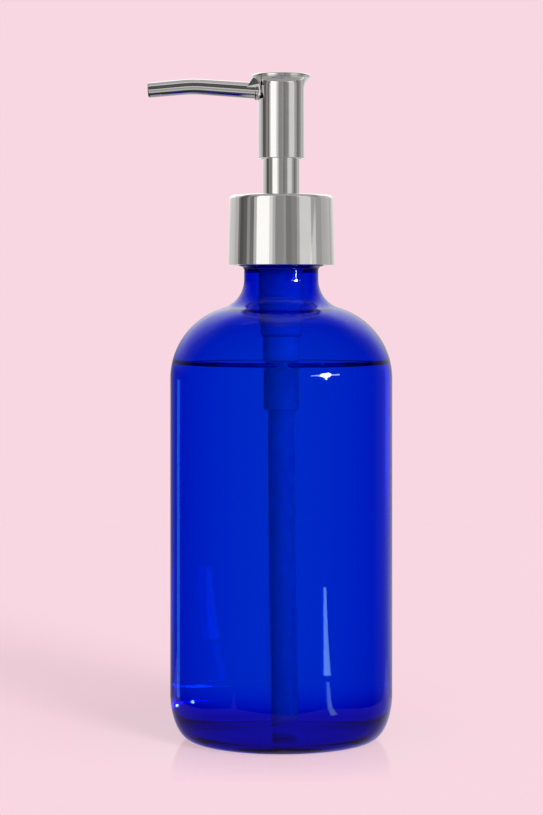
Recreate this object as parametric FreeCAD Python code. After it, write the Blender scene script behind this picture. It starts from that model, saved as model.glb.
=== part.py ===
"""Pump dispenser bottle: a round-shouldered blue glass bottle with a polished steel lotion pump.

Every piece is its own solid. Millimetres, +Z up. The origin is on the bottle's axis in the plane
that the base stands on, and the spout points towards -X.
"""
import FreeCAD, Part
import math
import os

# ---------------------------------------------------------------- driving dimensions
FULL_TURN = 360.0
HALF_TURN = 180.0
QUARTER_TURN = 90.0
RUNNING_GAP = 0.08          # radial clearance of a part that slides in its guide
SEAT_GAP = 0.05             # gap left between faces that rest on each other and can move apart
BEZIER_QUARTER = 0.5523     # handle length that makes a Bezier curve follow a quarter ellipse

# glass bottle: a 16 US fl oz round-shouldered bottle with a 28 mm single-turn screw finish
BODY_RADIUS = 37.5
GLASS_HEIGHT = 169.0
SIDE_WALL = 2.4
FOOT_INNER_RADIUS = 27.5
FOOT_OUTER_RADIUS = 30.2
HEEL_HEIGHT = 15.4
PUSH_UP = 1.8
FLOOR_INSIDE_CENTRE = 4.6
FLOOR_INSIDE_EDGE = 3.7
FLOOR_INSIDE_RADIUS = 24.0
HEEL_INSIDE_HEIGHT = 17.0
SHOULDER_START = 121.4
SHOULDER_RADIUS = 24.75
NECK_RADIUS = 12.55
NECK_FILLET = 10.1
NECK_BORE_RADIUS = 9.6
NECK_BORE_TOP = 157.0
MOUTH_BORE_RADIUS = 9.1
MOUTH_BORE_START = 158.5
LIP_ROUND = 0.8
BEAD_RADIUS = 14.25
BEAD_START = 157.9
BEAD_WIDEST = 159.35
BEAD_TOP = 159.8
FINISH_ROOT_RADIUS = 12.45

# screw thread shared by the glass finish and the collar
THREAD_PITCH = 4.233
THREAD_CREST_RADIUS = 13.7
THREAD_ROOT_WIDTH = 2.3
THREAD_CREST_WIDTH = 1.0
THREAD_START = 162.7
THREAD_EMBED = 0.3
BOTTLE_THREAD_TURNS = 1.0
COLLAR_THREAD_TURNS = 1.0
COLLAR_THREAD_FROM = 60.0    # degrees round from where the glass thread starts
COLLAR_THREAD_CREST = 12.9
COLLAR_THREAD_ROOT_WIDTH = 1.9
COLLAR_THREAD_CREST_WIDTH = 0.9

# collar: steel shell over a moulded threaded insert
COLLAR_BOTTOM = 159.65
COLLAR_TOP = 183.25
COLLAR_BOTTOM_RADIUS = 18.1
COLLAR_TOP_RADIUS = 17.5
COLLAR_BORE_RADIUS = 17.1
COLLAR_TOP_PLATE = 0.9
COLLAR_HOLE_RADIUS = 6.6
COLLAR_TOP_ROUND = 1.3
COLLAR_EDGE_ROUND = 0.12
INSERT_BOTTOM = 160.25
INSERT_BORE_RADIUS = 13.95
INSERT_WEB_THICKNESS = 1.5
INSERT_WEB_HOLE = 10.55
INSERT_UPPER_WALL = 1.5

# gasket and pump housing
GASKET_THICKNESS = 1.0
GASKET_INNER = 8.95
GASKET_OUTER = 12.7
FLANGE_THICKNESS = 1.6
FLANGE_RADIUS = 12.6
HOUSING_RIM_RADIUS = 8.85
HOUSING_RIM_TOP = 175.0
HOUSING_SNAP_RADIUS = 9.03
HOUSING_SNAP_HEIGHT = 174.0
HOUSING_SNAP_HALF = 0.5
HOUSING_PLUG_RADIUS = 8.6
HOUSING_PLUG_END = 160.5
HOUSING_BARREL_RADIUS = 7.6
HOUSING_BARREL_START = 159.5
HOUSING_RIB_RADIUS = 7.95
HOUSING_RIB_HEIGHT = 147.6
HOUSING_RIB_HALF = 0.6
HOUSING_STEP_HEIGHT = 140.9
HOUSING_STEP_RADIUS = 7.05
HOUSING_STEP_DROP = 0.9
HOUSING_LOWER_TOP = 136.6
HOUSING_LOWER_RADIUS = 6.2
HOUSING_CONE_TOP = 127.6
SPIGOT_TOP = 125.7
SPIGOT_RADIUS = 4.4
SPIGOT_BOTTOM = 111.2
GUIDE_SOCKET_RADIUS = 7.15
PISTON_BORE_RADIUS = 6.6
PISTON_BORE_FLOOR = 141.9
SPRING_BORE_RADIUS = 5.2
SPRING_BORE_TOP = 140.9
BALL_CHAMBER_RADIUS = 2.7
BALL_CHAMBER_TOP = 127.5
SEAT_HOLE_RADIUS = 1.4
SEAT_CONE_BOTTOM = 121.9
DIP_SOCKET_TOP = 120.2
VENT_RADIUS = 0.5
VENT_HEIGHT = 162.6

# stem guide, snapped into the top of the housing
GUIDE_FLOOR_BOTTOM = 165.2
GUIDE_FLOOR_THICKNESS = 1.6
GUIDE_PLUG_RADIUS = 7.1
GUIDE_PLUG_BORE = 6.45
GUIDE_TOWER_RADIUS = 4.75
GUIDE_TOWER_TOP = 181.0
GUIDE_CAP_THICKNESS = 1.2
GUIDE_SKIRT_BORE = 9.1
GUIDE_SKIRT_RADIUS = 10.2
GUIDE_SKIRT_BOTTOM = 172.0

# inlet valve and dip tube
BALL_RADIUS = 2.0
BALL_LIFT = 1.5
CAGE_RADIUS = 5.15
CAGE_TOP = 128.8
CAGE_STOP_RADIUS = 1.1
CAGE_HOLE_RADIUS = 0.8
CAGE_HOLE_CIRCLE = 2.3
CAGE_HOLES = 4
DIP_TUBE_RADIUS = 3.35
DIP_TUBE_BORE = 2.35
DIP_TUBE_TOP = 120.1
DIP_TUBE_TIP = 5.6
DIP_TUBE_CUT_RISE = 2.8      # how much higher the cut end is on the far side of the tube
DIP_TUBE_DRIFT = 1.1         # sideways drift of the lower end, towards +X

# piston, stem and spring
STEM_RADIUS = 3.5
STEM_BORE = 1.7
STEM_BOTTOM = 157.2
STEM_TOP = 207.0
STEM_PORT_RADIUS = 0.45
STEM_PORT_HEIGHT = 157.8
STEM_PORTS = 4
POPPET_RADIUS = 4.6
POPPET_BOTTOM = 155.4
ROD_PLUG_TOP = 162.0
ROD_FLUTE_RADIUS = 0.6
ROD_SPIGOT_RADIUS = 2.8
ROD_SPIGOT_BOTTOM = 151.0
ROD_SPIGOT_TIP = 1.6
SEAL_RADIUS = 6.55
SEAL_RELIEF_RADIUS = 6.3
SEAL_SKIRT_INNER = 5.9
SEAL_CORE_RADIUS = 4.6
SEAL_WEB_BOTTOM = 160.0
SEAL_WEB_TOP = 161.1
SEAL_SKIRT_BOTTOM = 157.9
SEAL_LIP_HEIGHT = 0.9
SEAL_TOP = 163.8
SPRING_COIL_RADIUS = 4.0
SPRING_WIRE_RADIUS = 0.42
SPRING_TOP = 155.35
SPRING_ACTIVE_TURNS = 7
SPRING_CLOSED_TURNS = 1.25
SPRING_COIL_GAP = 0.02       # left between the closed end coils
SPRING_POINTS_PER_TURN = 16

# head, sleeve and spout
SLEEVE_RADIUS = 6.25
SLEEVE_BORE = 5.05
SLEEVE_BOTTOM = 179.6
SLEEVE_TOP = 203.0
SLEEVE_EDGE_ROUND = 0.2
HEAD_RADIUS = 7.85
HEAD_BORE = 6.95
HEAD_BOTTOM = 195.65
HEAD_EDGE_ROUND = 0.25
FLARE_START = 219.6
FLARE_RADIUS = 9.75
FLARE_TOP = 222.9
CAP_RADIUS = 10.0
CAP_TOP = 224.1
CAP_EDGE_ROUND = 0.55
CAP_SPIGOT_RADIUS = 6.9
CAP_SPIGOT_DEPTH = 0.4
CORE_RADIUS = 6.9
CORE_BOTTOM = 197.0
CORE_TOP = 222.4
CHANNEL_RADIUS = 1.6
SPOUT_ROOT_RADIUS = 2.75
SPOUT_MOUTH_RADIUS = 2.5
SPOUT_WALL = 0.8
SPOUT_INNER_X = -4.0
SPOUT_REFERENCE_X = -8.0
SPOUT_REFERENCE_HEIGHT = 218.6
SPOUT_RISE_ANGLE = 4.0
SPOUT_APEX_X = -29.9
SPOUT_DROP_ANGLE = 5.2
SPOUT_MOUTH_X = -45.1
SPOUT_BEND_RADIUS = 42.0
SPOUT_BEND_STATIONS = 7
JOINT_RING_RADIUS = 3.2
JOINT_RING_FACE_X = -8.75
JOINT_RING_ROUND = 0.35
GUSSET_HALF_WIDTH = 2.85
GUSSET_TIP_X = -11.7
GUSSET_TIP_HEIGHT = 219.6
GUSSET_PEAK_X = -9.55
GUSSET_PEAK_HEIGHT = 222.85

# ---------------------------------------------------------------- derived dimensions
ORIGIN = FreeCAD.Vector(0, 0, 0)
X_AXIS = FreeCAD.Vector(1, 0, 0)
Y_AXIS = FreeCAD.Vector(0, 1, 0)
Z_AXIS = FreeCAD.Vector(0, 0, 1)
GASKET_TOP = GLASS_HEIGHT + GASKET_THICKNESS
FLANGE_TOP = GASKET_TOP + FLANGE_THICKNESS
WEB_BOTTOM = FLANGE_TOP + SEAT_GAP
WEB_TOP = WEB_BOTTOM + INSERT_WEB_THICKNESS
COLLAR_CEILING = COLLAR_TOP - COLLAR_TOP_PLATE
GUIDE_FLOOR_TOP = GUIDE_FLOOR_BOTTOM + GUIDE_FLOOR_THICKNESS
SEAT_CONE_TOP = SEAT_CONE_BOTTOM + BALL_CHAMBER_RADIUS - SEAT_HOLE_RADIUS
BALL_HEIGHT = SEAT_CONE_BOTTOM - SEAT_HOLE_RADIUS + BALL_RADIUS * math.sqrt(2.0) + SEAT_GAP
CAGE_STOP_HEIGHT = BALL_HEIGHT + BALL_RADIUS + BALL_LIFT + SEAT_GAP
SPRING_BOTTOM = CAGE_TOP
SPOUT_RISE_SLOPE = math.tan(math.radians(SPOUT_RISE_ANGLE))
SPOUT_DROP_SLOPE = math.tan(math.radians(SPOUT_DROP_ANGLE))


def rise_height(x):
    """Height of the spout's straight inner run at a given x."""
    return SPOUT_REFERENCE_HEIGHT + (SPOUT_REFERENCE_X - x) * SPOUT_RISE_SLOPE


def drop_height(x):
    """Height of the spout's straight outer run at a given x."""
    return rise_height(SPOUT_APEX_X) - (SPOUT_APEX_X - x) * SPOUT_DROP_SLOPE


# ---------------------------------------------------------------- shape helpers
class Outline:
    """A half-section drawn as (radius, height) steps and turned about the Z axis."""

    def __init__(self, radius, height):
        self.start = FreeCAD.Vector(radius, 0, height)
        self.here = self.start
        self.edges = []

    def add_curve(self, curve, there):
        self.edges.append(curve.toShape())
        self.here = there

    def line(self, radius, height):
        there = FreeCAD.Vector(radius, 0, height)
        self.edges.append(Part.makeLine(self.here, there))
        self.here = there
        return self

    def arc(self, centre_radius, centre_height, size, end_angle):
        """Circular arc from here to a polar angle in degrees, about a centre in the section."""
        start_angle = math.degrees(math.atan2(self.here.z - centre_height, self.here.x - centre_radius))
        points = []
        for angle in ((start_angle + end_angle) / 2, end_angle):
            turned = math.radians(angle)
            points.append(FreeCAD.Vector(centre_radius + size * math.cos(turned), 0,
                                         centre_height + size * math.sin(turned)))
        self.add_curve(Part.Arc(self.here, points[0], points[1]).toBSpline(), points[1])
        return self

    def through(self, middle_radius, middle_height, radius, height):
        """Circular arc from here through a middle point."""
        there = FreeCAD.Vector(radius, 0, height)
        middle = FreeCAD.Vector(middle_radius, 0, middle_height)
        self.add_curve(Part.Arc(self.here, middle, there).toBSpline(), there)
        return self

    def dome(self, radius, height):
        """Arc of a sphere centred on the axis, from here to a point; the one on the axis is higher."""
        there = FreeCAD.Vector(radius, 0, height)
        edge_radius = max(radius, self.here.x)
        rise = abs(self.here.z - height)
        size = (edge_radius ** 2 + rise ** 2) / (2 * rise)
        middle_radius = edge_radius / 2
        middle_drop = size - math.sqrt(size ** 2 - middle_radius ** 2)
        middle = FreeCAD.Vector(middle_radius, 0, max(self.here.z, height) - middle_drop)
        self.add_curve(Part.Arc(self.here, middle, there).toBSpline(), there)
        return self

    def quarter(self, radius, height, outward_first):
        """Quarter ellipse from here, leaving along the radius or along the height."""
        there = FreeCAD.Vector(radius, 0, height)
        if outward_first:
            corner = FreeCAD.Vector(there.x, 0, self.here.z)
        else:
            corner = FreeCAD.Vector(self.here.x, 0, there.z)
        leave = self.here + (corner - self.here) * BEZIER_QUARTER
        arrive = there + (corner - there) * BEZIER_QUARTER
        curve = Part.BezierCurve()
        curve.setPoles([self.here, leave, arrive, there])
        self.add_curve(curve, there)
        return self

    def turned(self):
        if self.here.distanceToPoint(self.start) > 0:
            self.edges.append(Part.makeLine(self.here, self.start))
        face = Part.Face(Part.Wire(self.edges))
        return face.revolve(ORIGIN, Z_AXIS, FULL_TURN)


def turned_points(points):
    """Solid of revolution from a closed list of (radius, height) corners."""
    outline = Outline(*points[0])
    for radius, height in points[1:]:
        outline.line(radius, height)
    return outline.turned()


def tube(outer_radius, inner_radius, bottom, top):
    """Plain tube on the Z axis."""
    return turned_points([(inner_radius, bottom), (outer_radius, bottom),
                          (outer_radius, top), (inner_radius, top)])


def rounded(solid, size, test):
    """Round the circular edges whose centre height and radius pass a test."""
    chosen = []
    for edge in solid.Edges:
        if isinstance(edge.Curve, Part.Circle) and test(edge.Curve.Center.z, edge.Curve.Radius):
            chosen.append(edge)
    return solid.makeFillet(size, chosen)


def around(count):
    """Equally spaced angles round a circle, in degrees."""
    return [index * FULL_TURN / count for index in range(count)]


def thread_ridge(base_radius, crest_radius, base_width, crest_width, turns):
    """One helical ridge, its centre line starting at height 0 on the +X side."""
    spine = Part.Wire(Part.makeHelix(THREAD_PITCH, THREAD_PITCH * turns, base_radius))
    corners = [FreeCAD.Vector(base_radius, 0, -base_width / 2),
               FreeCAD.Vector(crest_radius, 0, -crest_width / 2),
               FreeCAD.Vector(crest_radius, 0, crest_width / 2),
               FreeCAD.Vector(base_radius, 0, base_width / 2)]
    section = Part.makePolygon(corners + corners[:1])
    return spine.makePipeShell([section], True, True)


# ---------------------------------------------------------------- bottle
def shoulder_join(wall, neck_radius, fillet):
    """Centre height of the neck fillet and the angle where it meets the shoulder arc."""
    centre_radius = BODY_RADIUS - SHOULDER_RADIUS
    reach = SHOULDER_RADIUS - wall + fillet
    sideways = neck_radius + fillet - centre_radius
    upward = math.sqrt(reach ** 2 - sideways ** 2)
    return SHOULDER_START + upward, math.degrees(math.atan2(upward, sideways))


def bottle():
    """Glass bottle: pushed-up base, heel, body, shoulder, neck, bead and screw finish."""
    centre_radius = BODY_RADIUS - SHOULDER_RADIUS
    outer_height, outer_angle = shoulder_join(0.0, NECK_RADIUS, NECK_FILLET)
    inner_fillet = NECK_FILLET + NECK_RADIUS - NECK_BORE_RADIUS
    inner_height, inner_angle = shoulder_join(SIDE_WALL, NECK_BORE_RADIUS, inner_fillet)
    inside_radius = BODY_RADIUS - SIDE_WALL

    glass = Outline(0.0, PUSH_UP)
    glass.dome(FOOT_INNER_RADIUS, 0.0)
    glass.line(FOOT_OUTER_RADIUS, 0.0)
    glass.quarter(BODY_RADIUS, HEEL_HEIGHT, outward_first=True)
    glass.line(BODY_RADIUS, SHOULDER_START)
    glass.arc(centre_radius, SHOULDER_START, SHOULDER_RADIUS, outer_angle)
    glass.through(*fillet_middle(NECK_RADIUS + NECK_FILLET, outer_height, NECK_FILLET, outer_angle),
                  NECK_RADIUS, outer_height)
    glass.line(NECK_RADIUS, BEAD_START)
    glass.quarter(BEAD_RADIUS, BEAD_WIDEST, outward_first=False)
    glass.quarter(BEAD_RADIUS - BEAD_TOP + BEAD_WIDEST, BEAD_TOP, outward_first=False)
    glass.line(FINISH_ROOT_RADIUS, BEAD_TOP)
    glass.line(FINISH_ROOT_RADIUS, GLASS_HEIGHT - LIP_ROUND)
    glass.arc(FINISH_ROOT_RADIUS - LIP_ROUND, GLASS_HEIGHT - LIP_ROUND, LIP_ROUND, QUARTER_TURN)
    glass.line(MOUTH_BORE_RADIUS + LIP_ROUND, GLASS_HEIGHT)
    glass.arc(MOUTH_BORE_RADIUS + LIP_ROUND, GLASS_HEIGHT - LIP_ROUND, LIP_ROUND, HALF_TURN)
    glass.line(MOUTH_BORE_RADIUS, MOUTH_BORE_START)
    glass.line(NECK_BORE_RADIUS, NECK_BORE_TOP)
    glass.line(NECK_BORE_RADIUS, inner_height)
    glass.through(*fillet_middle(NECK_BORE_RADIUS + inner_fillet, inner_height, inner_fillet, inner_angle),
                  centre_radius + (SHOULDER_RADIUS - SIDE_WALL) * math.cos(math.radians(inner_angle)),
                  SHOULDER_START + (SHOULDER_RADIUS - SIDE_WALL) * math.sin(math.radians(inner_angle)))
    glass.arc(centre_radius, SHOULDER_START, SHOULDER_RADIUS - SIDE_WALL, 0.0)
    glass.line(inside_radius, HEEL_INSIDE_HEIGHT)
    glass.quarter(FLOOR_INSIDE_RADIUS, FLOOR_INSIDE_EDGE, outward_first=False)
    glass.dome(0.0, FLOOR_INSIDE_CENTRE)
    body = glass.turned()

    ridge = thread_ridge(FINISH_ROOT_RADIUS - THREAD_EMBED, THREAD_CREST_RADIUS,
                         THREAD_ROOT_WIDTH, THREAD_CREST_WIDTH, BOTTLE_THREAD_TURNS)
    ridge.translate(Z_AXIS * THREAD_START)
    return body.fuse(ridge).Solids[0]


def fillet_middle(centre_radius, centre_height, size, join_angle):
    """Middle point of the concave neck fillet, seen from its own centre."""
    from_centre = math.radians((join_angle + HALF_TURN + HALF_TURN) / 2)
    return (centre_radius + size * math.cos(from_centre),
            centre_height + size * math.sin(from_centre))


# ---------------------------------------------------------------- collar
def collar_shell():
    """Polished steel outer shell of the screw collar, open below, with a hole for the stem."""
    shell = turned_points([(COLLAR_BORE_RADIUS, COLLAR_BOTTOM),
                           (COLLAR_BOTTOM_RADIUS, COLLAR_BOTTOM),
                           (COLLAR_TOP_RADIUS, COLLAR_TOP),
                           (COLLAR_HOLE_RADIUS, COLLAR_TOP),
                           (COLLAR_HOLE_RADIUS, COLLAR_CEILING),
                           (COLLAR_BORE_RADIUS, COLLAR_CEILING)])
    shell = rounded(shell, COLLAR_TOP_ROUND, lambda z, r: z == COLLAR_TOP and r > COLLAR_HOLE_RADIUS + 1)
    return rounded(shell, COLLAR_EDGE_ROUND, lambda z, r: z == COLLAR_BOTTOM and r > COLLAR_BORE_RADIUS)


def threaded_insert():
    """Moulded insert in the collar: internal thread, clamping web and upper wall."""
    body = turned_points([(INSERT_BORE_RADIUS, INSERT_BOTTOM),
                          (COLLAR_BORE_RADIUS, INSERT_BOTTOM),
                          (COLLAR_BORE_RADIUS, COLLAR_CEILING - SEAT_GAP),
                          (COLLAR_BORE_RADIUS - INSERT_UPPER_WALL, COLLAR_CEILING - SEAT_GAP),
                          (COLLAR_BORE_RADIUS - INSERT_UPPER_WALL, WEB_TOP),
                          (INSERT_WEB_HOLE, WEB_TOP),
                          (INSERT_WEB_HOLE, WEB_BOTTOM),
                          (INSERT_BORE_RADIUS, WEB_BOTTOM)])
    ridge = thread_ridge(INSERT_BORE_RADIUS + THREAD_EMBED, COLLAR_THREAD_CREST,
                         COLLAR_THREAD_ROOT_WIDTH, COLLAR_THREAD_CREST_WIDTH, COLLAR_THREAD_TURNS)
    ridge.rotate(ORIGIN, Z_AXIS, COLLAR_THREAD_FROM)
    ridge.translate(Z_AXIS * (THREAD_START + THREAD_PITCH * COLLAR_THREAD_FROM / FULL_TURN
                              - THREAD_PITCH / 2))
    return body.fuse(ridge).Solids[0]


def sealing_gasket():
    """Flat ring between the lip of the bottle and the pump's flange."""
    return tube(GASKET_OUTER, GASKET_INNER, GLASS_HEIGHT, GASKET_TOP)


# ---------------------------------------------------------------- pump body
def pump_housing():
    """Stepped pump cylinder with its flange, snap rim, ball seat and dip tube spigot."""
    body = turned_points([
        (GUIDE_SOCKET_RADIUS, HOUSING_RIM_TOP),
        (HOUSING_RIM_RADIUS, HOUSING_RIM_TOP),
        (HOUSING_RIM_RADIUS, HOUSING_SNAP_HEIGHT + HOUSING_SNAP_HALF),
        (HOUSING_SNAP_RADIUS, HOUSING_SNAP_HEIGHT),
        (HOUSING_RIM_RADIUS, HOUSING_SNAP_HEIGHT - HOUSING_SNAP_HALF),
        (HOUSING_RIM_RADIUS, FLANGE_TOP),
        (FLANGE_RADIUS, FLANGE_TOP),
        (FLANGE_RADIUS, GASKET_TOP),
        (HOUSING_PLUG_RADIUS, GASKET_TOP),
        (HOUSING_PLUG_RADIUS, HOUSING_PLUG_END),
        (HOUSING_BARREL_RADIUS, HOUSING_BARREL_START),
        (HOUSING_BARREL_RADIUS, HOUSING_RIB_HEIGHT + HOUSING_RIB_HALF),
        (HOUSING_RIB_RADIUS, HOUSING_RIB_HEIGHT),
        (HOUSING_BARREL_RADIUS, HOUSING_RIB_HEIGHT - HOUSING_RIB_HALF),
        (HOUSING_BARREL_RADIUS, HOUSING_STEP_HEIGHT),
        (HOUSING_STEP_RADIUS, HOUSING_STEP_HEIGHT - HOUSING_STEP_DROP),
        (HOUSING_STEP_RADIUS, HOUSING_LOWER_TOP),
        (HOUSING_LOWER_RADIUS, HOUSING_LOWER_TOP - HOUSING_STEP_DROP),
        (HOUSING_LOWER_RADIUS, HOUSING_CONE_TOP),
        (SPIGOT_RADIUS, SPIGOT_TOP),
        (SPIGOT_RADIUS, SPIGOT_BOTTOM),
        (DIP_TUBE_RADIUS, SPIGOT_BOTTOM),
        (DIP_TUBE_RADIUS, DIP_SOCKET_TOP),
        (SEAT_HOLE_RADIUS, DIP_SOCKET_TOP),
        (SEAT_HOLE_RADIUS, SEAT_CONE_BOTTOM),
        (BALL_CHAMBER_RADIUS, SEAT_CONE_TOP),
        (BALL_CHAMBER_RADIUS, BALL_CHAMBER_TOP),
        (SPRING_BORE_RADIUS, BALL_CHAMBER_TOP),
        (SPRING_BORE_RADIUS, SPRING_BORE_TOP),
        (PISTON_BORE_RADIUS, PISTON_BORE_FLOOR),
        (PISTON_BORE_RADIUS, GUIDE_FLOOR_BOTTOM),
        (GUIDE_SOCKET_RADIUS, GUIDE_FLOOR_BOTTOM)])
    vent = Part.makeCylinder(VENT_RADIUS, BODY_RADIUS, FreeCAD.Vector(0, 0, VENT_HEIGHT), X_AXIS)
    return body.cut(vent)


def stem_guide():
    """Cap snapped on the housing: it guides the stem and holds the piston in."""
    return turned_points([
        (STEM_RADIUS + RUNNING_GAP, GUIDE_FLOOR_BOTTOM),
        (GUIDE_PLUG_RADIUS, GUIDE_FLOOR_BOTTOM),
        (GUIDE_PLUG_RADIUS, HOUSING_RIM_TOP),
        (GUIDE_SKIRT_BORE, HOUSING_RIM_TOP),
        (GUIDE_SKIRT_BORE, GUIDE_SKIRT_BOTTOM),
        (GUIDE_SKIRT_RADIUS, GUIDE_SKIRT_BOTTOM),
        (GUIDE_SKIRT_RADIUS, HOUSING_RIM_TOP + GUIDE_CAP_THICKNESS),
        (GUIDE_PLUG_BORE, HOUSING_RIM_TOP + GUIDE_CAP_THICKNESS),
        (GUIDE_PLUG_BORE, GUIDE_FLOOR_TOP),
        (GUIDE_TOWER_RADIUS, GUIDE_FLOOR_TOP),
        (GUIDE_TOWER_RADIUS, GUIDE_TOWER_TOP),
        (STEM_RADIUS + RUNNING_GAP, GUIDE_TOWER_TOP)])


def inlet_ball():
    """Steel ball resting on the conical seat at the bottom of the pump."""
    return Part.makeSphere(BALL_RADIUS, FreeCAD.Vector(0, 0, BALL_HEIGHT))


def ball_cage():
    """Perforated disc that limits the ball's lift and carries the spring."""
    cage = turned_points([(0.0, CAGE_STOP_HEIGHT), (CAGE_STOP_RADIUS, CAGE_STOP_HEIGHT),
                          (CAGE_STOP_RADIUS, BALL_CHAMBER_TOP), (CAGE_RADIUS, BALL_CHAMBER_TOP),
                          (CAGE_RADIUS, CAGE_TOP), (0.0, CAGE_TOP)])
    for angle in around(CAGE_HOLES):
        hole = Part.makeCylinder(CAGE_HOLE_RADIUS, CAGE_TOP,
                                 FreeCAD.Vector(CAGE_HOLE_CIRCLE, 0, BALL_CHAMBER_TOP))
        hole.rotate(ORIGIN, Z_AXIS, angle)
        cage = cage.cut(hole)
    return cage


def dip_tube():
    """Suction tube: straight in its spigot, then drifting slightly, with a slanted lower end."""
    drop = SPIGOT_BOTTOM
    bend_radius = (drop ** 2 + DIP_TUBE_DRIFT ** 2) / (2 * DIP_TUBE_DRIFT)
    half_way = math.asin(drop / bend_radius) / 2
    middle = FreeCAD.Vector(bend_radius * (1 - math.cos(half_way)), 0,
                            SPIGOT_BOTTOM - bend_radius * math.sin(half_way))
    corner = FreeCAD.Vector(0, 0, SPIGOT_BOTTOM)
    straight = Part.makeLine(FreeCAD.Vector(0, 0, DIP_TUBE_TOP), corner)
    curve = Part.Arc(corner, middle, FreeCAD.Vector(DIP_TUBE_DRIFT, 0, 0)).toShape()
    spine = Part.Wire([straight, curve])
    solids = []
    for radius in (DIP_TUBE_RADIUS, DIP_TUBE_BORE):
        section = Part.Wire(Part.makeCircle(radius, FreeCAD.Vector(0, 0, DIP_TUBE_TOP), Z_AXIS))
        solids.append(spine.makePipeShell([section], True, False))
    wall = solids[0].cut(solids[1])
    slant = math.degrees(math.atan2(DIP_TUBE_CUT_RISE, 2 * DIP_TUBE_RADIUS))
    blade = Part.makeBox(BODY_RADIUS, BODY_RADIUS, BODY_RADIUS,
                         FreeCAD.Vector(-BODY_RADIUS / 2, -BODY_RADIUS / 2, -BODY_RADIUS))
    blade.rotate(ORIGIN, Y_AXIS, -slant)
    blade.translate(FreeCAD.Vector(DIP_TUBE_DRIFT, 0, DIP_TUBE_TIP + DIP_TUBE_CUT_RISE / 2))
    return wall.cut(blade)


# ---------------------------------------------------------------- plunger
def piston_seal():
    """Sliding seal: two lips that wipe the housing, and a core that covers the stem's ports."""
    bore = STEM_RADIUS + RUNNING_GAP
    return turned_points([
        (bore, STEM_BOTTOM + SEAT_GAP),
        (SEAL_CORE_RADIUS, STEM_BOTTOM + SEAT_GAP),
        (SEAL_CORE_RADIUS, SEAL_WEB_BOTTOM),
        (SEAL_SKIRT_INNER, SEAL_WEB_BOTTOM),
        (SEAL_SKIRT_INNER, SEAL_SKIRT_BOTTOM),
        (SEAL_RADIUS, SEAL_SKIRT_BOTTOM),
        (SEAL_RADIUS, SEAL_SKIRT_BOTTOM + SEAL_LIP_HEIGHT),
        (SEAL_RELIEF_RADIUS, SEAL_WEB_BOTTOM),
        (SEAL_RELIEF_RADIUS, SEAL_WEB_TOP),
        (SEAL_RADIUS, SEAL_TOP - SEAL_LIP_HEIGHT),
        (SEAL_RADIUS, SEAL_TOP),
        (SEAL_SKIRT_INNER, SEAL_TOP),
        (SEAL_SKIRT_INNER, SEAL_WEB_TOP),
        (SEAL_CORE_RADIUS, SEAL_WEB_TOP),
        (SEAL_CORE_RADIUS, SEAL_TOP),
        (bore, SEAL_TOP)])


def piston_rod():
    """Valve plug at the foot of the stem: fluted plug, poppet and spring spigot."""
    body = turned_points([
        (0.0, ROD_SPIGOT_BOTTOM),
        (ROD_SPIGOT_RADIUS - ROD_SPIGOT_TIP, ROD_SPIGOT_BOTTOM),
        (ROD_SPIGOT_RADIUS, ROD_SPIGOT_BOTTOM + ROD_SPIGOT_TIP),
        (ROD_SPIGOT_RADIUS, POPPET_BOTTOM),
        (POPPET_RADIUS, POPPET_BOTTOM),
        (POPPET_RADIUS, STEM_BOTTOM),
        (STEM_BORE, STEM_BOTTOM),
        (STEM_BORE, ROD_PLUG_TOP),
        (0.0, ROD_PLUG_TOP)])
    for angle in around(STEM_PORTS):
        flute = Part.makeCylinder(ROD_FLUTE_RADIUS, ROD_PLUG_TOP - STEM_BOTTOM,
                                  FreeCAD.Vector(STEM_BORE, 0, STEM_BOTTOM))
        flute.rotate(ORIGIN, Z_AXIS, angle)
        body = body.cut(flute)
    return body


def pump_stem():
    """Hollow stem that carries the liquid up to the head, with ports just above its foot."""
    stem = tube(STEM_RADIUS, STEM_BORE, STEM_BOTTOM, STEM_TOP)
    for angle in around(STEM_PORTS):
        port = Part.makeCylinder(STEM_PORT_RADIUS, STEM_RADIUS * 2,
                                 FreeCAD.Vector(0, 0, STEM_PORT_HEIGHT), X_AXIS)
        port.rotate(ORIGIN, Z_AXIS, angle)
        stem = stem.cut(port)
    return stem


def coil_height(turn, total_turns, low, high):
    """Height of the wire's centre line after so many turns: closed, then open, then closed."""
    wire = 2 * SPRING_WIRE_RADIUS + SPRING_COIL_GAP
    closed = SPRING_CLOSED_TURNS
    if turn <= closed:
        return low + wire * turn
    if turn >= total_turns - closed:
        return high - wire * (total_turns - turn)
    open_low = low + wire * closed
    open_high = high - wire * closed
    share = (turn - closed) / SPRING_ACTIVE_TURNS
    return open_low + (open_high - open_low) * share


def return_spring():
    """Compression spring between the ball cage and the poppet, its ends ground flat."""
    low = SPRING_BOTTOM + SPRING_WIRE_RADIUS / 2
    high = SPRING_TOP - SPRING_WIRE_RADIUS / 2
    total_turns = SPRING_ACTIVE_TURNS + 2 * SPRING_CLOSED_TURNS
    steps = int(total_turns * SPRING_POINTS_PER_TURN)
    points = []
    for step in range(steps + 1):
        turn = step / SPRING_POINTS_PER_TURN
        angle = math.radians(turn * FULL_TURN)
        points.append(FreeCAD.Vector(SPRING_COIL_RADIUS * math.cos(angle),
                                     SPRING_COIL_RADIUS * math.sin(angle),
                                     coil_height(turn, total_turns, low, high)))
    curve = Part.BSplineCurve()
    curve.interpolate(points)
    spine = Part.Wire(curve.toShape())
    section = Part.Wire(Part.makeCircle(SPRING_WIRE_RADIUS, points[0], curve.tangent(0)[0]))
    wire = spine.makePipeShell([section], True, True)
    room = tube(SPRING_BORE_RADIUS, SPRING_COIL_RADIUS / 2, SPRING_BOTTOM, SPRING_TOP)
    return wire.common(room)


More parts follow.
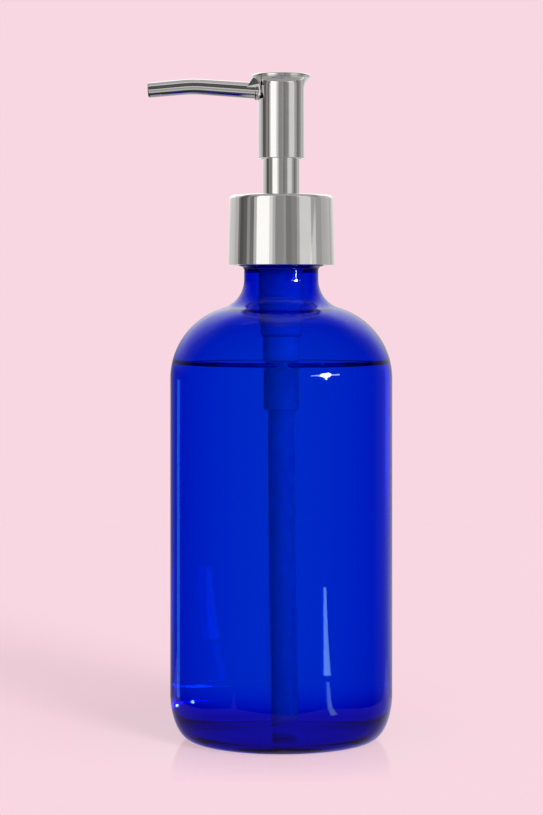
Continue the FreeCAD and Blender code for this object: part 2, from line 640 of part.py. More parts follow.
# ---------------------------------------------------------------- head
def stem_sleeve():
    """Polished sleeve round the stem, sliding into the collar when the head is pressed."""
    sleeve = tube(SLEEVE_RADIUS, SLEEVE_BORE, SLEEVE_BOTTOM, SLEEVE_TOP)
    return rounded(sleeve, SLEEVE_EDGE_ROUND, lambda z, r: z == SLEEVE_BOTTOM and r == SLEEVE_RADIUS)


def spout_bore(radius, near_x, far_x):
    """Cylinder along the spout's straight inner run, used to cut and to fill its sockets."""
    start = FreeCAD.Vector(near_x, 0, rise_height(near_x))
    end = FreeCAD.Vector(far_x, 0, rise_height(far_x))
    return Part.makeCylinder(radius, start.distanceToPoint(end), start, end - start)


def flare_middle():
    """Middle point of the head's flare, an arc that leaves the tube's side without a corner."""
    outward = FLARE_RADIUS - HEAD_RADIUS
    upward = FLARE_TOP - FLARE_START
    size = (outward ** 2 + upward ** 2) / (2 * outward)
    half_turn = math.atan2(outward, upward)
    return (HEAD_RADIUS + size * (1 - math.cos(half_turn)),
            FLARE_START + size * math.sin(half_turn))


def head_shell():
    """Polished head tube, flared like a trumpet at the top, with a side hole for the spout."""
    outline = Outline(HEAD_BORE, HEAD_BOTTOM)
    outline.line(HEAD_RADIUS, HEAD_BOTTOM)
    outline.line(HEAD_RADIUS, FLARE_START)
    outline.through(*flare_middle(), FLARE_RADIUS, FLARE_TOP)
    outline.line(HEAD_BORE, FLARE_TOP)
    shell = rounded(outline.turned(), HEAD_EDGE_ROUND,
                    lambda z, r: z == HEAD_BOTTOM and r == HEAD_RADIUS)
    return shell.cut(spout_bore(SPOUT_ROOT_RADIUS, 0.0, -2 * HEAD_RADIUS))


def head_core():
    """Moulded core inside the head: it grips the stem and sleeve and leads liquid to the spout."""
    core = turned_points([
        (STEM_RADIUS, CORE_BOTTOM),
        (SLEEVE_BORE, CORE_BOTTOM),
        (SLEEVE_BORE, SLEEVE_TOP),
        (SLEEVE_RADIUS, SLEEVE_TOP),
        (SLEEVE_RADIUS, CORE_BOTTOM),
        (CORE_RADIUS, CORE_BOTTOM),
        (CORE_RADIUS, CORE_TOP),
        (0.0, CORE_TOP),
        (0.0, STEM_TOP),
        (STEM_RADIUS, STEM_TOP)])
    rise = Part.makeCylinder(CHANNEL_RADIUS, rise_height(0.0) - STEM_TOP, FreeCAD.Vector(0, 0, STEM_TOP))
    core = core.cut(rise)
    core = core.cut(spout_bore(CHANNEL_RADIUS, 0.0, SPOUT_INNER_X))
    return core.cut(spout_bore(SPOUT_ROOT_RADIUS, SPOUT_INNER_X, -2 * HEAD_RADIUS))


def head_cap():
    """Round button that closes the top of the head."""
    cap = turned_points([
        (0.0, FLARE_TOP - CAP_SPIGOT_DEPTH),
        (CAP_SPIGOT_RADIUS, FLARE_TOP - CAP_SPIGOT_DEPTH),
        (CAP_SPIGOT_RADIUS, FLARE_TOP),
        (CAP_RADIUS, FLARE_TOP),
        (CAP_RADIUS, CAP_TOP),
        (0.0, CAP_TOP)])
    return rounded(cap, CAP_EDGE_ROUND, lambda z, r: r == CAP_RADIUS)


def spout_stations():
    """Points and directions along the spout's centre line, from inside the head to the mouth."""
    stations = []
    rise_direction = FreeCAD.Vector(-1, 0, SPOUT_RISE_SLOPE).normalize()
    drop_direction = FreeCAD.Vector(-1, 0, -SPOUT_DROP_SLOPE).normalize()
    turn = math.radians(SPOUT_RISE_ANGLE + SPOUT_DROP_ANGLE)
    tangent_length = SPOUT_BEND_RADIUS * math.tan(turn / 2)
    apex = FreeCAD.Vector(SPOUT_APEX_X, 0, rise_height(SPOUT_APEX_X))
    bend_start = apex - rise_direction * tangent_length
    upward = FreeCAD.Vector(SPOUT_RISE_SLOPE, 0, 1).normalize()
    centre = bend_start - upward * SPOUT_BEND_RADIUS
    start = FreeCAD.Vector(SPOUT_INNER_X, 0, rise_height(SPOUT_INNER_X))
    stations.append((start, rise_direction))
    for step in range(SPOUT_BEND_STATIONS):
        angle = math.degrees(turn) * step / (SPOUT_BEND_STATIONS - 1)
        rotation = FreeCAD.Rotation(Y_AXIS, -angle)
        stations.append((centre + rotation.multVec(upward) * SPOUT_BEND_RADIUS,
                         rotation.multVec(rise_direction)))
    stations.append((FreeCAD.Vector(SPOUT_MOUTH_X, 0, drop_height(SPOUT_MOUTH_X)), drop_direction))
    return stations


def spout_solid(inset):
    """Gently tapering solid along the spout's centre line, smaller than its outside by an inset."""
    stations = spout_stations()
    length = stations[0][0].x - stations[-1][0].x
    sections = []
    for point, direction in stations:
        share = (stations[0][0].x - point.x) / length
        radius = SPOUT_ROOT_RADIUS + (SPOUT_MOUTH_RADIUS - SPOUT_ROOT_RADIUS) * share - inset
        sections.append(Part.Wire(Part.makeCircle(radius, point, direction)))
    return Part.makeLoft(sections, True, True)


def spout_tube():
    """Polished spout: a tapering tube that rises, bends once and drops slightly to its mouth."""
    return spout_solid(0.0).cut(spout_solid(SPOUT_WALL))


def head_envelope():
    """Solid outside of the head, used to fit pieces against it."""
    outline = Outline(0.0, HEAD_BOTTOM)
    outline.line(HEAD_RADIUS, HEAD_BOTTOM)
    outline.line(HEAD_RADIUS, FLARE_START)
    outline.through(*flare_middle(), FLARE_RADIUS, FLARE_TOP)
    outline.line(CAP_RADIUS, FLARE_TOP)
    outline.line(CAP_RADIUS, CAP_TOP)
    outline.line(0.0, CAP_TOP)
    return outline.turned()


def spout_ring():
    """Small raised ring where the spout enters the head."""
    ring = spout_bore(JOINT_RING_RADIUS, 0.0, JOINT_RING_FACE_X)
    outer_edges = []
    for edge in ring.Edges:
        if isinstance(edge.Curve, Part.Circle) and edge.Curve.Center.x < SPOUT_REFERENCE_X:
            outer_edges.append(edge)
    ring = ring.makeFillet(JOINT_RING_ROUND, outer_edges)
    ring = ring.cut(spout_bore(SPOUT_ROOT_RADIUS, 0.0, -2 * HEAD_RADIUS))
    return ring.cut(head_envelope())


def spout_gusset():
    """Wedge between the top of the spout's root and the rim of the head."""
    profile = [FreeCAD.Vector(GUSSET_TIP_X, -GUSSET_HALF_WIDTH, GUSSET_TIP_HEIGHT),
               FreeCAD.Vector(GUSSET_PEAK_X, -GUSSET_HALF_WIDTH, GUSSET_PEAK_HEIGHT),
               FreeCAD.Vector(0.0, -GUSSET_HALF_WIDTH, GUSSET_PEAK_HEIGHT),
               FreeCAD.Vector(0.0, -GUSSET_HALF_WIDTH, GUSSET_TIP_HEIGHT)]
    wedge = Part.Face(Part.makePolygon(profile + profile[:1])).extrude(Y_AXIS * 2 * GUSSET_HALF_WIDTH)
    wedge = wedge.cut(head_envelope())
    wedge = wedge.cut(spout_bore(SPOUT_ROOT_RADIUS, 0.0, GUSSET_TIP_X * 2))
    return wedge.cut(spout_bore(JOINT_RING_RADIUS, 0.0, JOINT_RING_FACE_X))


# ---------------------------------------------------------------- export
PIECES = {
    "bottle": bottle,
    "collar_shell": collar_shell,
    "threaded_insert": threaded_insert,
    "sealing_gasket": sealing_gasket,
    "pump_housing": pump_housing,
    "stem_guide": stem_guide,
    "inlet_ball": inlet_ball,
    "ball_cage": ball_cage,
    "dip_tube": dip_tube,
    "piston_seal": piston_seal,
    "piston_rod": piston_rod,
    "pump_stem": pump_stem,
    "return_spring": return_spring,
    "stem_sleeve": stem_sleeve,
    "head_shell": head_shell,
    "head_core": head_core,
    "head_cap": head_cap,
    "spout_tube": spout_tube,
    "spout_ring": spout_ring,
    "spout_gusset": spout_gusset,
}


def main():
    os.makedirs("parts", exist_ok=True)
    for node, make in PIECES.items():
        make().exportStep("parts/" + node + ".step")


main()
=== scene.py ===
"""Looks for the pump dispenser bottle: cobalt glass, polished steel, moulded plastic and a soft studio."""
import math

import bmesh
import bpy
from mathutils import Matrix, Quaternion, Vector


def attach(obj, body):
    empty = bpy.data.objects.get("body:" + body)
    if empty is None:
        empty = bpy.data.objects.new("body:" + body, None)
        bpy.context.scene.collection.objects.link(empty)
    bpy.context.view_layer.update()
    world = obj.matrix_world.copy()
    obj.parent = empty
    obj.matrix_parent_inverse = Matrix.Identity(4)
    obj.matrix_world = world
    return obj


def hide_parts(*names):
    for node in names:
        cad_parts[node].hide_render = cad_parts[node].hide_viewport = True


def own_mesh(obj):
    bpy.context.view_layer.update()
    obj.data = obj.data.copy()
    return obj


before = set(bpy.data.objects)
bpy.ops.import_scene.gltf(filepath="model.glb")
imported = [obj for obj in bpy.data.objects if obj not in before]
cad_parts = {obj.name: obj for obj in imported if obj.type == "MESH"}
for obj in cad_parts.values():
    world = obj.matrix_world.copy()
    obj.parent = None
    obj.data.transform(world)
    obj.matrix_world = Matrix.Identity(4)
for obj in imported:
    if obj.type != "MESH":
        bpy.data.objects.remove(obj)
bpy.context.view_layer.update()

# ------------ units
MM = 0.001
QUARTER_TURN = math.pi / 2
HALF_TURN = math.pi
FULL_TURN = math.tau

# ------------ dimensions of the object, in millimetres
BODY_RADIUS = 37.5
GLASS_HEIGHT = 169.0
SIDE_WALL = 2.4
FOOT_INNER_RADIUS = 27.5
FOOT_OUTER_RADIUS = 30.2
HEEL_HEIGHT = 15.4
PUSH_UP = 1.8
FLOOR_INSIDE_CENTRE = 4.6
FLOOR_INSIDE_EDGE = 3.7
FLOOR_INSIDE_RADIUS = 24.0
HEEL_INSIDE_HEIGHT = 17.0
SHOULDER_START = 121.4
SHOULDER_RADIUS = 24.75
SHOULDER_CENTRE = BODY_RADIUS - SHOULDER_RADIUS
NECK_RADIUS = 12.55
NECK_FILLET = 10.1
NECK_BORE_RADIUS = 9.6
NECK_BORE_TOP = 157.0
MOUTH_BORE_RADIUS = 9.1
MOUTH_BORE_START = 158.5
LIP_ROUND = 0.8
BEAD_RADIUS = 14.25
BEAD_START = 157.9
BEAD_WIDEST = 159.35
BEAD_TOP = 159.8
FINISH_ROOT_RADIUS = 12.45
THREAD_PITCH = 4.233
THREAD_START = 162.7
THREAD_HEIGHT = 1.25
THREAD_HALF_ROOT = 1.02
THREAD_HALF_CREST = 0.5
THREAD_FADE = math.radians(14.0)

LIQUID_LEVEL = 125.5
LIQUID_OVERLAP = 0.12  # how far the liquid runs into the glass, so that no film of air is left
LIQUID_PUMP_RADIUS = 3.6  # inside the wall of the pump's spigot, where the liquid steps down
LIQUID_PUMP_LEVEL = 117.0  # below the inlet ball and the tube's top, clear of both as the pump lifts
MENISCUS_RISE = 1.8
MENISCUS_WIDTH = 2.9
MENISCUS_CURVE = 1.3

COLLAR_BOTTOM = 159.65
COLLAR_TOP = 183.25
COLLAR_BOTTOM_RADIUS = 18.1
COLLAR_TOP_RADIUS = 17.5
COLLAR_BORE_RADIUS = 17.1
COLLAR_TOP_PLATE = 0.9
COLLAR_HOLE_RADIUS = 6.6
COLLAR_TOP_ROUND = 1.3

SLEEVE_RADIUS = 6.25
SLEEVE_BORE = 5.05
SLEEVE_BOTTOM = 179.6
SLEEVE_TOP = 203.0
HEAD_RADIUS = 7.85
HEAD_BORE = 6.95
HEAD_BOTTOM = 195.65
FLARE_START = 219.6
FLARE_RADIUS = 9.75
FLARE_TOP = 222.9
CAP_RADIUS = 10.0
CAP_TOP = 224.1
CAP_EDGE_ROUND = 0.55
CAP_SPIGOT_RADIUS = 6.9
CAP_SPIGOT_DEPTH = 0.4
HEAD_EDGE_ROUND = 0.25

SPOUT_ROOT_RADIUS = 2.75
SPOUT_MOUTH_RADIUS = 2.5
SPOUT_WALL = 0.8
SPOUT_INNER_X = -4.0
SPOUT_REFERENCE_X = -8.0
SPOUT_REFERENCE_HEIGHT = 218.6
SPOUT_RISE = math.radians(4.0)
RISE_DIRECTION = Vector((-math.cos(SPOUT_RISE), 0, math.sin(SPOUT_RISE)))
SPOUT_APEX_X = -29.9
SPOUT_DROP = math.radians(5.2)
SPOUT_MOUTH_X = -45.1
SPOUT_BEND_RADIUS = 42.0
JOINT_RING_RADIUS = 3.2
JOINT_RING_FACE_X = -8.75
JOINT_RING_ROUND = 0.35
GUSSET_HALF_WIDTH = 2.85
GUSSET_TIP = (-11.7, 219.6)
GUSSET_PEAK = (-9.55, 222.85)
GUSSET_EDGE_ROUND = 0.12

GUIDE_SOCKET_RADIUS = 7.15
HOUSING_RIM_RADIUS = 8.85
HOUSING_RIM_TOP = 175.0
FLANGE_RADIUS = 12.6
FLANGE_TOP = 171.6
FLANGE_BOTTOM = 170.0
HOUSING_PLUG_RADIUS = 8.6
HOUSING_PLUG_END = 160.5
HOUSING_BARREL_RADIUS = 7.6
HOUSING_BARREL_START = 159.5
HOUSING_RIB_RADIUS = 7.95
HOUSING_RIB_HEIGHT = 147.6
HOUSING_RIB_HALF = 0.6
HOUSING_STEP_HEIGHT = 140.9
HOUSING_STEP_RADIUS = 7.05
HOUSING_STEP_DROP = 0.9
HOUSING_LOWER_TOP = 136.6
HOUSING_LOWER_RADIUS = 6.2
HOUSING_CONE_TOP = 127.6
SPIGOT_TOP = 125.7
SPIGOT_RADIUS = 4.4
SPIGOT_BOTTOM = 111.2
PISTON_BORE_RADIUS = 6.6
PISTON_BORE_FLOOR = 141.9
SPRING_BORE_RADIUS = 5.2
SPRING_BORE_TOP = 140.9
BALL_CHAMBER_RADIUS = 2.7
BALL_CHAMBER_TOP = 127.5
SEAT_HOLE_RADIUS = 1.4
SEAT_CONE_BOTTOM = 121.9
DIP_SOCKET_TOP = 120.2
GUIDE_FLOOR_BOTTOM = 165.2

DIP_TUBE_RADIUS = 3.35
DIP_TUBE_BORE = 2.35
DIP_TUBE_TOP = 120.1
DIP_TUBE_TIP = 5.6
DIP_TUBE_CUT_RISE = 2.8
DIP_TUBE_DRIFT = 1.1

SPRING_COIL_RADIUS = 4.0
SPRING_WIRE_RADIUS = 0.42
SPRING_BOTTOM = 128.8
SPRING_TOP = 155.35
SPRING_ACTIVE_TURNS = 7
SPRING_CLOSED_TURNS = 1.25
SPRING_COIL_GAP = 0.02
RING_ROOT = 0.2  # the ring's inner end is this far outside the head's bore, within its wall
RING_OVERLAP = 0.05  # how far the ring reaches into the spout
GUSSET_ROOT = 0.3  # the same as RING_ROOT, for the gusset

# roundings of turned edges, from crisp to soft
HAIR, FINE, SLIGHT, EASY, SOFT, BROAD, BROADEST = 0.05, 0.1, 0.15, 0.2, 0.25, 0.3, 0.4

# ------------ mesh settings
GLASS_SEGMENTS = 192
STEEL_SEGMENTS = 160
PLASTIC_SEGMENTS = 96
SUPPORT_GAP = 0.18  # extra edge loops this close to the ends of a run keep it looking straight
SUPPORT_LENGTH = 0.8  # shorter runs need no extra loops
THREAD_ROW = 0.2
ON_AXIS = 1e-6  # a point this close to the axis is one vertex
ON_FINISH = 0.01  # a point this close to the finish carries the thread
FOOT_STEPS = 24
SHOULDER_STEPS = 32
INSIDE_STEPS = 20
FILLET_STEPS = 16
BEAD_STEPS = 8
EDGE_STEPS = 6
LIP_STEPS = 5
HOUSING_EDGE_STEPS = 3
LIQUID_EDGE_STEPS = 10
MENISCUS_STEPS = 12
SPOUT_STRAIGHT_STEPS = 12
SPOUT_BEND_STEPS = 16
SPOUT_LIP_STEPS = 8
GUSSET_EDGE_STEPS = 4
ROUND_BEVEL = 0.5  # bevel profile that is a true arc
TUBE_STEPS = 40
SPRING_STEPS_PER_TURN = 36
SPRING_SIDES = 14

# ------------ camera, light and surroundings, in metres
CAMERA_PLACE = (-0.0033, -0.816, 0.1502)
CAMERA_LENS = 106.6
CAMERA_SENSOR = 36.0
CAMERA_SHIFT = -0.1404
CAMERA_NEAR = 0.05
BACKGROUND = (0.939, 0.679, 0.761)
AMBIENT = (0.22, 0.21, 0.215)
KEY_AZIMUTH = 33.0
KEY_ELEVATION = 21.0
KEY_SPREAD = 4.0  # brightness of the broad glow round the main light
KEY_STRENGTH = 6.5
KEY_WIDTH = 19.0

FLOOR_RADIUS = 2.4
FLOOR_SIDES = 96
FLOOR_GAP = 0.0002  # the floor lies this far below the glass, so that the two never coincide
FLOOR_GLOW = 0.74  # share of the floor's brightness that shadows cannot take away
FLOOR_PAPER = (0.134, 0.0945, 0.107)
FLOOR_FADE = (0.45, 1.5)
FLOOR_SHINE = 0.16
FLOOR_ROUGHNESS = 0.1
SHINE_FADE = (0.030, 0.085)

# the dim room in reflections: brightness by share of the way round, from behind the object past its
# left, and by height, from straight down to straight up
ROOM_AROUND = [
    (0.0, 0.5), (0.05, 0.2), (0.10, 0.04), (0.17, 0.0), (0.80, 0.0), (0.87, 0.12), (0.93, 0.42), (1.0, 0.5)]
ROOM_HEIGHT = [(0.0, 0.6), (0.5, 1.0), (0.64, 1.5), (0.80, 1.7), (0.87, 0.6), (0.93, 0.2), (1.0, 0.2)]
SIDE_AROUND = [(0.0, 0.6), (0.08, 0.5), (0.15, 0.12), (0.21, 0.0), (0.84, 0.0), (0.91, 0.2), (1.0, 0.3)]
SIDE_HEIGHT = [(0.52, 0.0), (0.62, 1.0), (0.82, 1.2), (0.90, 0.3), (1.0, 0.2)]

STUDIO_RADIUS = 1.2
STUDIO_CENTRE = Vector((0.0, 0.0, 0.19))
STEEL_GAIN = 1.12
STEEL_WHITE = (1.0, 0.995, 0.985)
STEEL_FLOOR_TINT = (1.0, 0.96, 0.96)
STEEL_ROOM = 0.35
WIDEST_PANEL = 30.0  # degrees; a wider stretch is several panels
PANEL_LOW = -38.0
PANEL_HIGH = 42.0

# softboxes, flags and grey room round the steel: from and to (degrees from the camera's side, to
# the right) and how bright
STEEL_SURROUNDINGS = [
    (-180, -121, 0.52), (-121, -107, 0.42), (-107, -101, 0.16), (-101, -90, 0.08), (-90, -80, 0.11),
    (-80, -72, 0.26), (-72, -62, 0.15), (-62, -55, 0.45), (-55, -26, 1.00), (-26, -19, 0.68),
    (-19, -13, 0.42), (-13, 4, 0.24), (4, 10, 0.28), (10, 22, 0.17), (22, 34, 0.21), (34, 40, 0.34),
    (40, 68, 0.60), (68, 82, 0.33), (82, 98, 0.16), (98, 112, 0.24), (112, 130, 0.38), (130, 180, 0.26)]

# the same over the camera, for the level spout: from and to (degrees up) and how bright
SPOUT_SURROUNDINGS = [
    (-92, -62, 0.02), (-62, -50, 0.08), (-50, -32, 0.46), (-32, -9, 0.29), (-9, 3, 0.56), (3, 57, 0.07),
    (57, 70, 0.60), (70, 96, 0.38), (96, 150, 0.22)]
SPOUT_PANEL_LENGTH = 3.0
COLLAR_PATCH_TILT = math.radians(8.0)

# lights that stand by themselves: azimuth, distance, height, width, tallness, brightness, colour;
# the collar's are clear of the ring of panels, because lights in one plane hide each other
LAMPS = {
    "collar_patch": (75.0, 1.15, -0.15, 0.32, 0.8, 0.27, STEEL_WHITE),
    "collar_wall": (97.0, 1.15, 0.19, 0.62, 1.2, 0.17, STEEL_WHITE),
    "spout_side": (-95.0, 2.2825, 0.9316, 2.4, 2.0, 0.5, STEEL_WHITE),
    "glass_star": (46.0, 1.2, 0.271, 0.27, 0.13, 24.0, (1.0, 1.0, 1.0)),
    "glass_star_bar": (46.0, 1.2, 0.271, 0.68, 0.035, 9.0, (0.8, 0.92, 1.0)),
    "glass_neck_bar": (46.0, 1.2, 0.205, 0.07, 0.11, 18.0, (1.0, 1.0, 1.0)),
    "glass_edge": (-132.0, 1.2, -0.045, 0.14, 0.27, 1.6, (0.03, 0.3, 1.0))}

# lights on the floor that the glass mirrors, for the streak and the glints near the base
STREAK_AZIMUTH = 43.5
STREAK_WEDGE = 0.075  # width as a share of the distance
STREAK_COLOUR = (0.5, 1.0, 0.9)
STREAK_STRIPS = [(0.08, 0.185, 2.0), (0.20, 0.48, 4.2)]  # near end, far end, brightness
GLINTS = [(-0.074, 0.032, 0.008), (-0.120, 0.0, 0.009)]  # x, y, size
GLINT_RADIANCE = 9.0

LOW_TINT = (0.26, 0.16, 0.75)  # light that has come through the blue glass onto the floor
LOW_RADIANCE = 0.55
LOW_PLACE = (0.0, 0.2, -0.35)
LOW_SIZE = 3.4

# ------------ plastics
# darker and lighter colour, roughness, subsurface weight and grains per metre
PLASTICS = {
    "white_plastic": ((0.74, 0.74, 0.73), (0.82, 0.82, 0.81), 0.38, 0.0, 900.0),
    "natural_plastic": ((0.70, 0.71, 0.70), (0.80, 0.80, 0.79), 0.42, 0.25, 900.0),
    "tube_plastic": ((0.66, 0.68, 0.70), (0.78, 0.79, 0.80), 0.25, 0.4, 900.0),
    "seal_plastic": ((0.62, 0.63, 0.64), (0.72, 0.72, 0.72), 0.5, 0.1, 900.0),
    "gasket_foam": ((0.55, 0.54, 0.52), (0.70, 0.69, 0.66), 0.8, 0.0, 2600.0)}

# pieces that keep their CAD shape, by material
HIDDEN_NODES = {
    "white_plastic": ["threaded_insert", "head_core"],
    "natural_plastic": ["pump_stem", "stem_guide", "ball_cage", "piston_rod"],
    "seal_plastic": ["piston_seal"],
    "gasket_foam": ["sealing_gasket"],
    "valve_steel": ["inlet_ball"]}


# ------------ outlines
def between(start, end, share):
    """Point a share of the way from one (radius, height) to another."""
    return (start[0] + (end[0] - start[0]) * share, start[1] + (end[1] - start[1]) * share)


class Outline:
    """A half section as (radius, height) points in millimetres, to be turned about the Z axis."""

    def __init__(self, radius, height):
        self.points = [(radius, height)]

    def line(self, radius, height):
        """Straight run from here, with an extra point just inside each end."""
        here = self.points[-1]
        length = math.dist(here, (radius, height))
        if length > SUPPORT_LENGTH:
            for share in (SUPPORT_GAP / length, 1 - SUPPORT_GAP / length):
                self.points.append(between(here, (radius, height), share))
        self.points.append((radius, height))

    def rows(self, radius, height, spacing):
        """Straight run from here, cut into even rows."""
        here = self.points[-1]
        count = max(1, round(math.dist(here, (radius, height)) / spacing))
        self.points.extend(between(here, (radius, height), (step + 1) / count) for step in range(count))

    def sweep(self, centre_radius, centre_height, size, start_angle, end_angle, steps=FILLET_STEPS):
        """Arc between two polar angles about a centre, whatever the last point."""
        for step in range(1, steps + 1):
            angle = start_angle + (end_angle - start_angle) * step / steps
            self.points.append((centre_radius + size * math.cos(angle),
                                centre_height + size * math.sin(angle)))

    def arc(self, centre_radius, centre_height, end_angle, steps):
        """Circular arc from here about a centre, to a polar angle."""
        across = self.points[-1][0] - centre_radius
        upward = self.points[-1][1] - centre_height
        self.sweep(centre_radius, centre_height, math.hypot(across, upward), math.atan2(upward, across),
                   end_angle, steps)

    def quarter(self, radius, height, outward_first, steps):
        """Quarter ellipse from here, leaving along the radius or along the height."""
        here_radius, here_height = self.points[-1]
        for step in range(1, steps + 1):
            angle = QUARTER_TURN * step / steps
            early, late = math.sin(angle), 1 - math.cos(angle)
            along, up = (early, late) if outward_first else (late, early)
            self.points.append((here_radius + (radius - here_radius) * along,
                                here_height + (height - here_height) * up))

    def dome(self, radius, height, steps):
        """Arc of a sphere centred on the axis, from here to a point; the one on the axis is higher."""
        here_radius, here_height = self.points[-1]
        edge_radius = max(radius, here_radius)
        top = max(here_height, height)
        size = (edge_radius ** 2 + (height - here_height) ** 2) / (2 * abs(height - here_height))
        for step in range(1, steps + 1):
            at = here_radius + (radius - here_radius) * step / steps
            self.points.append((at, top - size + math.sqrt(size ** 2 - at ** 2)))


def rounded_outline(corners, steps=EDGE_STEPS):
    """Closed outline from (radius, height, rounding) corners; each rounding is a true arc."""
    count = len(corners)
    outline = None
    for index in range(count):
        radius, height, rounding = corners[index]
        here = Vector((radius, height))
        before = (Vector(corners[index - 1][:2]) - here).normalized()
        after = (Vector(corners[(index + 1) % count][:2]) - here).normalized()
        half = before.angle(after) / 2
        centre = here + (before + after).normalized() * rounding / math.sin(half)
        start = here + before * rounding / math.tan(half)
        end = here + after * rounding / math.tan(half)
        sweep = (start - centre).angle_signed(end - centre)
        arc_points = []
        for step in range(steps + 1):
            turned = start - centre
            turned.rotate(Matrix.Rotation(-sweep * step / steps, 2))
            arc_points.append(centre + turned)
        if outline:
            outline.line(*arc_points[0])
        else:
            outline = Outline(*arc_points[0])
        outline.points.extend(tuple(point) for point in arc_points[1:])
    outline.line(*outline.points[0])
    outline.points.pop()
    return outline


# ------------ mesh makers
def finished(name, builder, body, replaced=()):
    """Object from a bmesh, smooth, with outward normals, riding on its body."""
    bmesh.ops.recalc_face_normals(builder, faces=builder.faces)
    mesh = bpy.data.meshes.new(name)
    builder.to_mesh(mesh)
    builder.free()
    mesh.shade_smooth()
    piece = added(name, mesh)
    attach(piece, body)
    if replaced:
        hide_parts(*replaced)
    return piece


def turned_mesh(points, segments, closed=True, relief=None):
    """Bmesh of revolution from (radius, height) points in millimetres; relief adds to the radius."""
    builder = bmesh.new()
    rings = []
    for radius, height in points:
        if radius < ON_AXIS:
            rings.append([builder.verts.new((0.0, 0.0, height * MM))])
            continue
        ring = []
        for index in range(segments):
            angle = FULL_TURN * index / segments
            at = radius + (relief(radius, height, angle) if relief else 0.0)
            at *= MM
            ring.append(builder.verts.new((at * math.cos(angle), at * math.sin(angle), height * MM)))
        rings.append(ring)
    pairs = list(zip(rings, rings[1:]))
    if closed:
        pairs.append((rings[-1], rings[0]))
    for low, high in pairs:
        for index in range(segments):
            following = (index + 1) % segments
            corners = [low[index % len(low)], low[following % len(low)],
                       high[following % len(high)], high[index % len(high)]]
            builder.faces.new(list(dict.fromkeys(corners)))
    return builder


def turned_steel(name, outline, body, node, closed=True):
    """Turned piece of polished steel that stands in for a CAD node."""
    builder = turned_mesh(outline.points, STEEL_SEGMENTS, closed)
    return finished(name, builder, body, [node])


def skin(builder, rings):
    """Quads between each ring of vertices and the next."""
    for low, high in zip(rings, rings[1:]):
        for index in range(len(low)):
            following = (index + 1) % len(low)
            builder.faces.new((low[index], low[following], high[following], high[index]))


def ring_of(builder, centre, across, upward, radius, sides):
    """Circle of vertices about a centre, given in millimetres."""
    ring = []
    for index in range(sides):
        angle = FULL_TURN * index / sides
        at = centre + (across * math.cos(angle) + upward * math.sin(angle)) * radius
        ring.append(builder.verts.new(at * MM))
    return ring


def swept_mesh(stations, radii):
    """Bmesh of circles along a closed run of (point, direction) stations in the XZ plane, in millimetres."""
    builder = bmesh.new()
    rings = []
    for (point, along), radius in zip(stations, radii):
        across = along.cross(Vector((0, 1, 0))).normalized()
        upward = along.cross(across).normalized()
        rings.append(ring_of(builder, point, across, upward, radius, PLASTIC_SEGMENTS))
    skin(builder, rings + rings[:1])
    return builder


# ------------ bottle and liquid
def shoulder_join(wall, neck_radius, fillet):
    """Centre height of the neck fillet and the angle where it meets the shoulder arc."""
    reach = SHOULDER_RADIUS - wall + fillet
    sideways = neck_radius + fillet - SHOULDER_CENTRE
    upward = math.sqrt(reach ** 2 - sideways ** 2)
    return SHOULDER_START + upward, math.atan2(upward, sideways)


def thread_relief(radius, height, angle):
    """Height of the thread's ridge over the finish at a point on it."""
    on_finish = BEAD_TOP < height < GLASS_HEIGHT - LIP_ROUND / 2
    if not on_finish or abs(radius - FINISH_ROOT_RADIUS) > ON_FINISH:
        return 0.0
    away = abs(height - THREAD_START - THREAD_PITCH * angle / FULL_TURN)
    share = (THREAD_HALF_ROOT - away) / (THREAD_HALF_ROOT - THREAD_HALF_CREST)
    fade = min(1.0, angle / THREAD_FADE, (FULL_TURN - angle) / THREAD_FADE)
    return THREAD_HEIGHT * max(0.0, min(1.0, share)) * fade


def bottle_outside(glass):
    """Outside of the glass, from the edge of the push-up to the top of the finish."""
    fillet_height, join_angle = shoulder_join(0.0, NECK_RADIUS, NECK_FILLET)
    glass.dome(FOOT_INNER_RADIUS, 0.0, FOOT_STEPS)
    glass.line(FOOT_OUTER_RADIUS, 0.0)
    glass.quarter(BODY_RADIUS, HEEL_HEIGHT, True, FOOT_STEPS)
    glass.line(BODY_RADIUS, SHOULDER_START)
    glass.arc(SHOULDER_CENTRE, SHOULDER_START, join_angle, SHOULDER_STEPS)
    glass.sweep(NECK_RADIUS + NECK_FILLET, fillet_height, NECK_FILLET, join_angle + HALF_TURN, HALF_TURN)
    glass.line(NECK_RADIUS, BEAD_START)
    glass.quarter(BEAD_RADIUS, BEAD_WIDEST, False, BEAD_STEPS)
    glass.quarter(BEAD_RADIUS - BEAD_TOP + BEAD_WIDEST, BEAD_TOP, False, EDGE_STEPS)
    glass.line(FINISH_ROOT_RADIUS, BEAD_TOP)
    glass.rows(FINISH_ROOT_RADIUS, GLASS_HEIGHT - LIP_ROUND, THREAD_ROW)
    glass.arc(FINISH_ROOT_RADIUS - LIP_ROUND, GLASS_HEIGHT - LIP_ROUND, QUARTER_TURN, LIP_STEPS)


